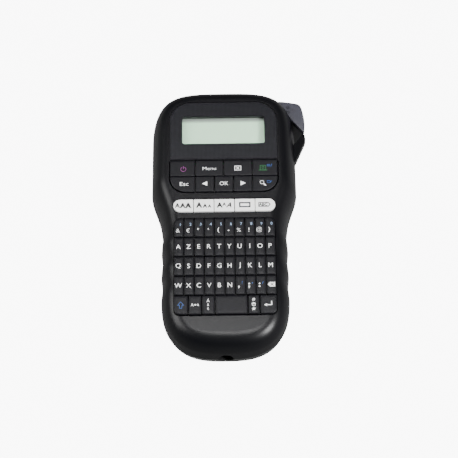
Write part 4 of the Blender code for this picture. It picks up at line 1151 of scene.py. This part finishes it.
def print_numbers(node, letters, middle):
    """Signs low on the left of the top row's keys, digits high on the right."""
    heights = {'"': 1.0, "'": 1.0, "-": -0.3}
    # The busiest signs are drawn thinner, so that their inside stays open.
    symbols = [
        ink_words(
            c,
            SYMBOL_SIZE,
            column_centre(node, i) - 0.7,
            middle - 2.2 + heights.get(c, 0.0),
            bold=-0.014 if c in "&€@%" else 0.01,
        )
        for i, c in enumerate(letters)
    ]
    print_on(f"{node}_symbols", symbols, WHITE_INK, node, row_body(node))
    digits = [
        ink_words(str((i + 1) % COLUMNS), DIGIT_SIZE, column_centre(node, i) + 1.0, middle + 2.4)
        for i in range(COLUMNS)
    ]
    print_on(f"{node}_digits", digits, DIGIT_INK, node, row_body(node))


def print_lower_row(node, letters, middle):
    """Six letters, three stops with their blue seconds, and the delete flag."""
    marks = [
        ink_words(c, LETTER_SIZE, column_centre(node, i) - 0.35, middle)
        for i, c in enumerate(letters[:6])
    ]
    x = [column_centre(node, i) for i in range(COLUMNS)]
    dots = ((6, -1.3), (7, -1.3), (7, 0.7), (8, -1.3), (8, 0.7))
    marks += [ink_disc((x[i] - 1.2, middle + dy), 0.55) for i, dy in dots]
    tail = ((-1.0, -1.1), (-1.6, -2.6), (-1.2, -2.6), (-0.65, -1.4))
    marks += [ink_patch([(x[i] + dx, middle + dy) for dx, dy in tail]) for i in (6, 7)]
    cx = x[9]
    flag = [
        (cx - 2.6, middle),
        (cx - 1.1, middle - 1.6),
        (cx + 2.2, middle - 1.6),
        (cx + 2.2, middle + 1.6),
        (cx - 1.1, middle + 1.6),
    ]
    marks.append(ink_patch(flag))
    print_on(f"{node}_legends", marks, WHITE_INK, node, row_body(node))
    cross = ink_line([(cx - 0.5, middle - 0.8), (cx + 1.1, middle + 0.8)], 0.5)
    cross += ink_line([(cx - 0.5, middle + 0.8), (cx + 1.1, middle - 0.8)], 0.5)
    print_on(f"{node}_delete_cross", cross, BLACK_INK, node, row_body(node), lift=INK)
    blue = [ink_words("?", DIGIT_SIZE, x[6] + 1.0, middle + 1.6)]
    blue += [ink_disc((x[7] + 0.9, middle + 1.2), 0.4)]
    blue += ink_line([(x[8] + 0.6, middle + 0.6), (x[8] + 1.3, middle + 2.2)], 0.35)
    print_on(f"{node}_seconds", blue, BLUE_INK, node, row_body(node))


def spot(node, dx=0.0, dy=0.0):
    """A point at so much from the middle of a key."""
    x, y, _ = face_box(node)
    return (x[0] + x[1]) / 2 + dx, (y[0] + y[1]) / 2 + dy


def on_key(name, node, marks, ink=WHITE_INK, lift=0.0):
    """Prints marks on a key that moves by itself."""
    return print_on(name, marks, ink, node, f"{node}_body", lift)


def print_function_keys():
    """White words and signs, with the power, print and second marks in colour."""
    x, y = spot("power_key", 0.6, -0.6)
    power = ink_ring((x, y), 1.75, 0.42, 125, 415) + ink_line([(x, y + 0.3), (x, y + 2.1)], 0.42)
    on_key("power_mark", "power_key", power, MAGENTA_INK)
    menu = ink_words("Menu", 3.6, *spot("menu_key", 0.0, -0.2), bold=-0.012, wide=1.22)
    on_key("menu_word", "menu_key", [menu])
    x, y = spot("clear_key", 0.0, -0.2)
    cross = ink_line([(x - 0.8, y - 0.8), (x + 0.8, y + 0.8)], 0.42)
    cross += ink_line([(x - 0.8, y + 0.8), (x + 0.8, y - 0.8)], 0.42)
    on_key("clear_mark", "clear_key", ink_box((x, y), 4.2, 3.2, 0.42) + cross)
    x, y = spot("print_key", -1.4, -0.4)
    printer = ink_box((x, y + 0.3), 3.8, 3.4, 0.45)
    printer += ink_line([(x - 2.6, y - 1.6), (x + 2.6, y - 1.6)], 0.6)
    printer += ink_box((x, y + 0.4), 1.3, 1.5, 0.4)
    on_key("print_mark", "print_key", printer, GREEN_INK)
    x, y = spot("print_key", 3.0, 1.7)
    sheet = ink_box((x - 0.6, y), 1.7, 1.3, 0.3) + ink_line([(x - 0.9, y), (x - 0.3, y)], 0.3)
    sheet += ink_line([(x + 1.0, y - 0.8), (x + 1.7, y + 0.8)], 0.4)
    on_key("print_second_mark", "print_key", sheet, BLUE_INK)
    escape = ink_words("Esc", 4.1, *spot("escape_key", 1.2, 0.2), bold=-0.004, wide=1.2)
    on_key("escape_word", "escape_key", [escape])
    on_key("ok_word", "ok_key", [ink_words("OK", 4.1, *spot("ok_key", 0.0, 0.3), bold=-0.004)])
    for node, side in (("left_key", -1), ("right_key", 1)):
        x, y = spot(node, 0.0, 0.3)
        arrow = [(x - side * 1.6, y - 1.7), (x + side * 1.9, y), (x - side * 1.6, y + 1.7)]
        on_key(f"{node}_mark", node, [ink_patch(arrow)])
    x, y = spot("search_key", -1.9, 0.3)
    glass = ink_ring((x - 0.4, y + 0.5), 1.25, 0.45)
    glass += ink_line([(x + 0.7, y - 0.6), (x + 1.9, y - 1.8)], 0.85)
    on_key("search_mark", "search_key", glass)
    x, y = spot("search_key", 2.6, 1.2)
    tag = ink_box((x - 0.3, y), 2.0, 1.5, 0.3)
    tag += ink_line([(x + 0.7, y - 0.7), (x + 1.7, y + 0.5)], 0.35)
    on_key("search_second_mark", "search_key", tag, BLUE_INK)


def print_style_keys():
    """Three letters in growing weight, in falling size and in other styles, then a frame and a tag."""
    x, y = spot("font_key")
    weights = ((-3.9, 0.04), (-0.3, 0.065), (3.5, 0.09))
    marks = [ink_words("A", 4.6, x + dx, y, bold=b) for dx, b in weights]
    on_key("font_marks", "font_key", marks, BLACK_INK)
    x, y = spot("size_key")
    sizes = ((-3.1, 5.0, 0.2), (0.9, 3.6, -0.4), (4.0, 2.8, -0.7))
    marks = [ink_words("A", s, x + dx, y + dy, bold=0.06) for dx, s, dy in sizes]
    on_key("size_marks", "size_key", marks, BLACK_INK)
    x, y = spot("style_key", -0.4)
    marks = [
        ink_words("A", 4.8, x - 2.7, y, bold=0.06),
        ink_words("A", 3.2, x + 0.4, y + 0.6, bold=0.04),
        ink_words("A", 4.8, x + 3.4, y, bold=0.04, slant=0.35),
    ]
    on_key("style_marks", "style_key", marks, BLACK_INK)
    x, y = spot("frame_key")
    on_key("frame_mark", "frame_key", ink_box((x, y), 6.9, 3.0, 1.0), GREY_INK)
    x, y = spot("layout_key", -0.9)
    tag = ink_line(
        [(x - 3.6, y - 1.5), (x + 2.9, y - 1.5), (x + 4.1, y), (x + 2.9, y + 1.5), (x - 3.6, y + 1.5)],
        0.6,
        closed=True,
    )
    tag.append(ink_words("ABC", 3.0, x - 0.6, y, bold=0.04))
    on_key("layout_mark", "layout_key", tag, GREY_INK)


def print_bottom_row():
    """Shift, capitals, accents, symbols and enter; the space key is plain."""
    x, y = spot("shift_key", -0.2)
    half_arrow = [(0.8, -2.4), (0.8, -0.2), (2.0, -0.2)]
    arrow = [*half_arrow, (0.0, 2.3), *((-dx, dy) for dx, dy in reversed(half_arrow))]
    outline = ink_line([(x + dx, y + dy) for dx, dy in arrow], 0.4, closed=True)
    on_key("shift_mark", "shift_key", outline, BLUE_INK)
    x, y = spot("caps_key")
    marks = [ink_words("A", 3.1, x - 1.9, y), ink_words("a", 3.1, x + 2.0, y - 0.1)]
    marks += [
        ink_patch([(x - 0.7, y), (x + 0.1, y - 0.7), (x + 0.1, y + 0.7)]),
        ink_patch([(x + 0.25, y - 0.7), (x + 1.0, y), (x + 0.25, y + 0.7)]),
    ]
    on_key("caps_marks", "caps_key", marks)
    x, y = spot("accent_key", -0.2, 0.2)
    stacked = [
        ink_words("Á", 3.0, x, y + 2.9),
        ink_words("ä", 2.8, x, y - 0.2),
        ink_words("ç", 2.8, x, y - 3.2),
    ]
    on_key("accent_marks", "accent_key", stacked)
    x, y = spot("symbol_key", -0.2)
    star = [
        (r * math.sin(math.pi * k / 5) + x, r * math.cos(math.pi * k / 5) + y - 3.3)
        for k in range(10)
        for r in [(1.5, 0.62)[k % 2]]
    ]
    house = ink_box((x, y - 0.3), 2.0, 1.3, 0.35) + [
        ink_patch([(x - 1.6, y + 0.4), (x + 1.6, y + 0.4), (x, y + 1.5)])
    ]
    on_key("symbol_marks", "symbol_key", [ink_words("#", 3.3, x, y + 3.4), ink_patch(star), *house])
    x, y = spot("enter_key", -0.2)
    marks = ink_line([(x + 2.2, y + 1.8), (x + 2.2, y - 0.6), (x - 1.2, y - 0.6)], 0.6)
    marks.append(ink_patch([(x - 2.8, y - 0.6), (x - 0.9, y - 1.7), (x - 0.9, y + 0.5)]))
    on_key("enter_mark", "enter_key", marks)


# ---------------------------------------------------------------- display


def build_display():
    """The panel round the display, its film's edge eased and its window flared."""
    panel = slab("panel", panel_outline(-0.05), -PANEL_DEPTH + GAP, -PANEL_BELOW_FACE)
    flare = [
        [(*p, h) for p in window_outline(g)]
        for h, g in ((-6.0, 0.0), (-0.45, 0.0), (0.1, 0.4), (3.0, 0.4))
    ]
    round_edges(panel, lambda p: p.z > -0.06, 0.15, 1)
    carve(panel, loft("window_cut", flare))
    on_face(smooth(panel, 15.0))
    finish(panel, "housing", PANEL_FILM, ["display_panel"])


# ---------------------------------------------------------------- cutter lever


def build_lever():
    """The thumb lever: a grey plate over a black ribbed body, whose arm runs in to the pin."""
    outer = from_side(
        (-13.6, 91.6),
        (-8.0, 91.2),
        (-2.0, 90.2),
        (2.2, 89.3),
        (4.2, 87.8),
        (5.3, 85.2),
        (6.2, 80.5),
        (6.8, 75.8),
        (7.0, 71.5),
        (6.8, 67.5),
        (6.2, 63.8),
        (2.6, 68.8),
        (-2.6, 75.2),
        (-4.6, 79.0),
    )
    plate = slab("lever_plate", outer, LEVER_PLATE_LOW, LEVER_TOP)
    round_edges(plate, lambda p: p.z > LEVER_TOP - 0.01, 0.9, 4)
    body = slab(
        "lever_body",
        from_side(
            (-3.7, 74.2),
            (6.5, 74.2),
            (6.7, 75.8),
            (5.2, 85.2),
            (4.1, 87.6),
            (2.1, 89.1),
            (-9.5, 91.0),
            (-3.7, 82.0),
        ),
        LEVER_LOW,
        LEVER_PLATE_LOW + 1.0,
    )
    round_edges(body, lambda p: p.z < LEVER_LOW + 0.01, 0.8, 3)
    arm_low, arm_high = 31.5, 37.5
    pin = [j["pos_m"] for j in frame["joints"] if j["name"] == "cutter_lever_press"][0]
    pin = (pin[0] / MM, pin[1] / MM)
    arm = slab(
        "lever_arm",
        [
            (pin[0], pin[1] - 4.5),
            (SHOULDER_HALF_WIDTH - 3.0, 75.4),
            (SHOULDER_HALF_WIDTH - 3.0, 84.0),
            (pin[0], pin[1] + 5.0),
        ],
        arm_low,
        arm_high,
    )
    fuse(body, arm, rod("lever_boss", pin, 5.2, arm_low, arm_high))
    carve(body, rod("lever_bore", pin, 1.9, 20.0, 50.0))
    for i in range(LEVER_GROOVES):
        z = LEVER_LOW + 4.0 + GROOVE_PITCH * i
        carve(
            body,
            slab(
                "thumb_groove",
                from_side((6.0, 74.5), (9.0, 74.5), (7.0, 86.5), (4.4, 86.0)),
                z,
                z + 1.1,
            ),
        )
    finish(smooth(plate), "lever", LEVER_ABS, ["cutter_lever"])
    finish(smooth(body), "lever", CASING_ABS)
    x, y = SHOULDER_HALF_WIDTH - 1.5, 83.5
    marks = ink_line([(x - 2.4, y - 1.7), (x + 2.6, y + 1.3)], 0.45)
    marks += ink_line([(x - 2.4, y + 1.7), (x + 2.6, y - 1.3)], 0.45)
    marks += ink_ring((x - 3.1, y - 2.1), 0.9, 0.4)
    marks += ink_ring((x - 3.1, y + 2.1), 0.9, 0.4)
    scissors = merge("lever_scissors", marks)
    placed(scissors, Matrix.Translation((0, 0, LEVER_TOP * MM)))
    finish(scissors, "lever", SCISSOR_INK)


# ---------------------------------------------------------------- what the frame already shapes well


def paint_cad_nodes():
    """The pieces inside, and the small metal ones, keep their CAD shape and get their finish."""
    finishes = {
        "black_plastic": CASING_ABS,
        "dark_plastic": CASSETTE_ABS,
        "clear_plastic": PMMA,
        "lcd": LCD,
        "mat_rubber": MAT_SILICONE,
        "circuit_board": FR4,
        "cell_wrap": CELL_WRAP,
        "steel": PLATED_STEEL,
        "nylon": ACETAL,
        "brass": BRASS,
        "platen_rubber": PLATEN_RUBBER,
        "heat_sink": HEAD_ALUMINIUM,
        "label_tape": LABEL_TAPE,
    }
    slots = {part["node"]: part["material_slot"] for part in frame["record"]["subparts"]}
    for name, node in frame["nodes"].items():
        if node.hide_render:
            continue
        node.data.materials.clear()
        node.data.materials.append(SPRING_STEEL if name == "lever_spring" else finishes[slots[name]])
        smooth(node, 30.0)


def build_floor():
    """White paper lit from below: bright to the eye, though it throws little light on the casing."""
    deselect()
    bpy.ops.mesh.primitive_plane_add(size=8.0, location=(0, 0, -0.0005))
    floor = named(bpy.context.object, "floor")
    bpy.ops.object.transform_apply(location=True)
    paint = surface("white lit floor", "#6a6a6a", "#666666", 0.9, 3.0, 0.0)
    tree = paint.node_tree
    shader = tree.nodes["Principled BSDF"]
    shader.inputs["Emission Color"].default_value = linear("#ffffff")
    seen = add_node(tree, "ShaderNodeLightPath").outputs["Is Camera Ray"]
    glow = add_node(tree, "ShaderNodeMapRange", {"Value": seen, "To Min": 0.12, "To Max": 9.0})
    tree.links.new(glow.outputs["Result"], shader.inputs["Emission Strength"])
    floor.data.materials.append(paint)


def add_softbox(name, place, size, power, aim=(0.0, 0.0, 0.02)):
    """A rectangular soft light that faces the object."""
    data = bpy.data.lights.new(name, "AREA")
    data.shape = "RECTANGLE"
    data.size, data.size_y = size
    data.energy = power
    light = bpy.data.objects.new(name, data)
    bpy.context.scene.collection.objects.link(light)
    light.location = place
    light.rotation_euler = (Vector(aim) - Vector(place)).to_track_quat("-Z", "Y").to_euler()


def build_studio():
    """A pale horizon under a dark ceiling, a soft light over the grip and one on each side."""
    world = bpy.data.worlds.new("studio")
    bpy.context.scene.world = world
    world.use_nodes = True
    tree = world.node_tree
    direction = add_node(tree, "ShaderNodeTexCoord").outputs["Generated"]
    height = add_node(tree, "ShaderNodeSeparateXYZ", {"Vector": direction}).outputs["Z"]
    fade = add_node(
        tree,
        "ShaderNodeMapRange",
        {"Value": height, "From Min": 0.05, "From Max": 0.35, "To Min": 0.45, "To Max": 0.03},
    )
    background = tree.nodes["Background"]
    background.inputs["Color"].default_value = linear("#ffffff")
    tree.links.new(fade.outputs["Result"], background.inputs["Strength"])
    add_softbox("overhead softbox", (0.05, 0.06, 1.1), (0.5, 0.14), 7.0)
    add_softbox("left softbox", (-0.85, 0.0, 0.8), (0.6, 0.8), 14.0)
    add_softbox("right softbox", (0.8, -0.45, 0.8), (0.35, 0.4), 26.0)


def build_camera():
    """Looks down on the keyboard from beyond the grip's end."""
    data = bpy.data.cameras.new("camera")
    data.lens = 125.6
    data.clip_start = 0.05
    camera = bpy.data.objects.new("camera", data)
    bpy.context.scene.collection.objects.link(camera)
    elevation = math.radians(59.0)
    back = Vector((0.0, -math.cos(elevation), math.sin(elevation)))
    aim = Vector((0.00303, -0.009, 0.0355))
    camera.location = aim + back * 1.1
    level = (-back).to_track_quat("-Z", "Y")
    camera.rotation_euler = (level @ Quaternion((0, 0, 1), math.radians(-0.8))).to_euler()
    bpy.context.scene.camera = camera


build_camera()
build_studio()
build_floor()
build_front_casing()
build_rear_casing()
build_rear_cover()
build_screws()
build_display()
build_single_keys()
build_letter_rows()
print_function_keys()
print_style_keys()
print_bottom_row()
build_lever()
paint_cad_nodes()
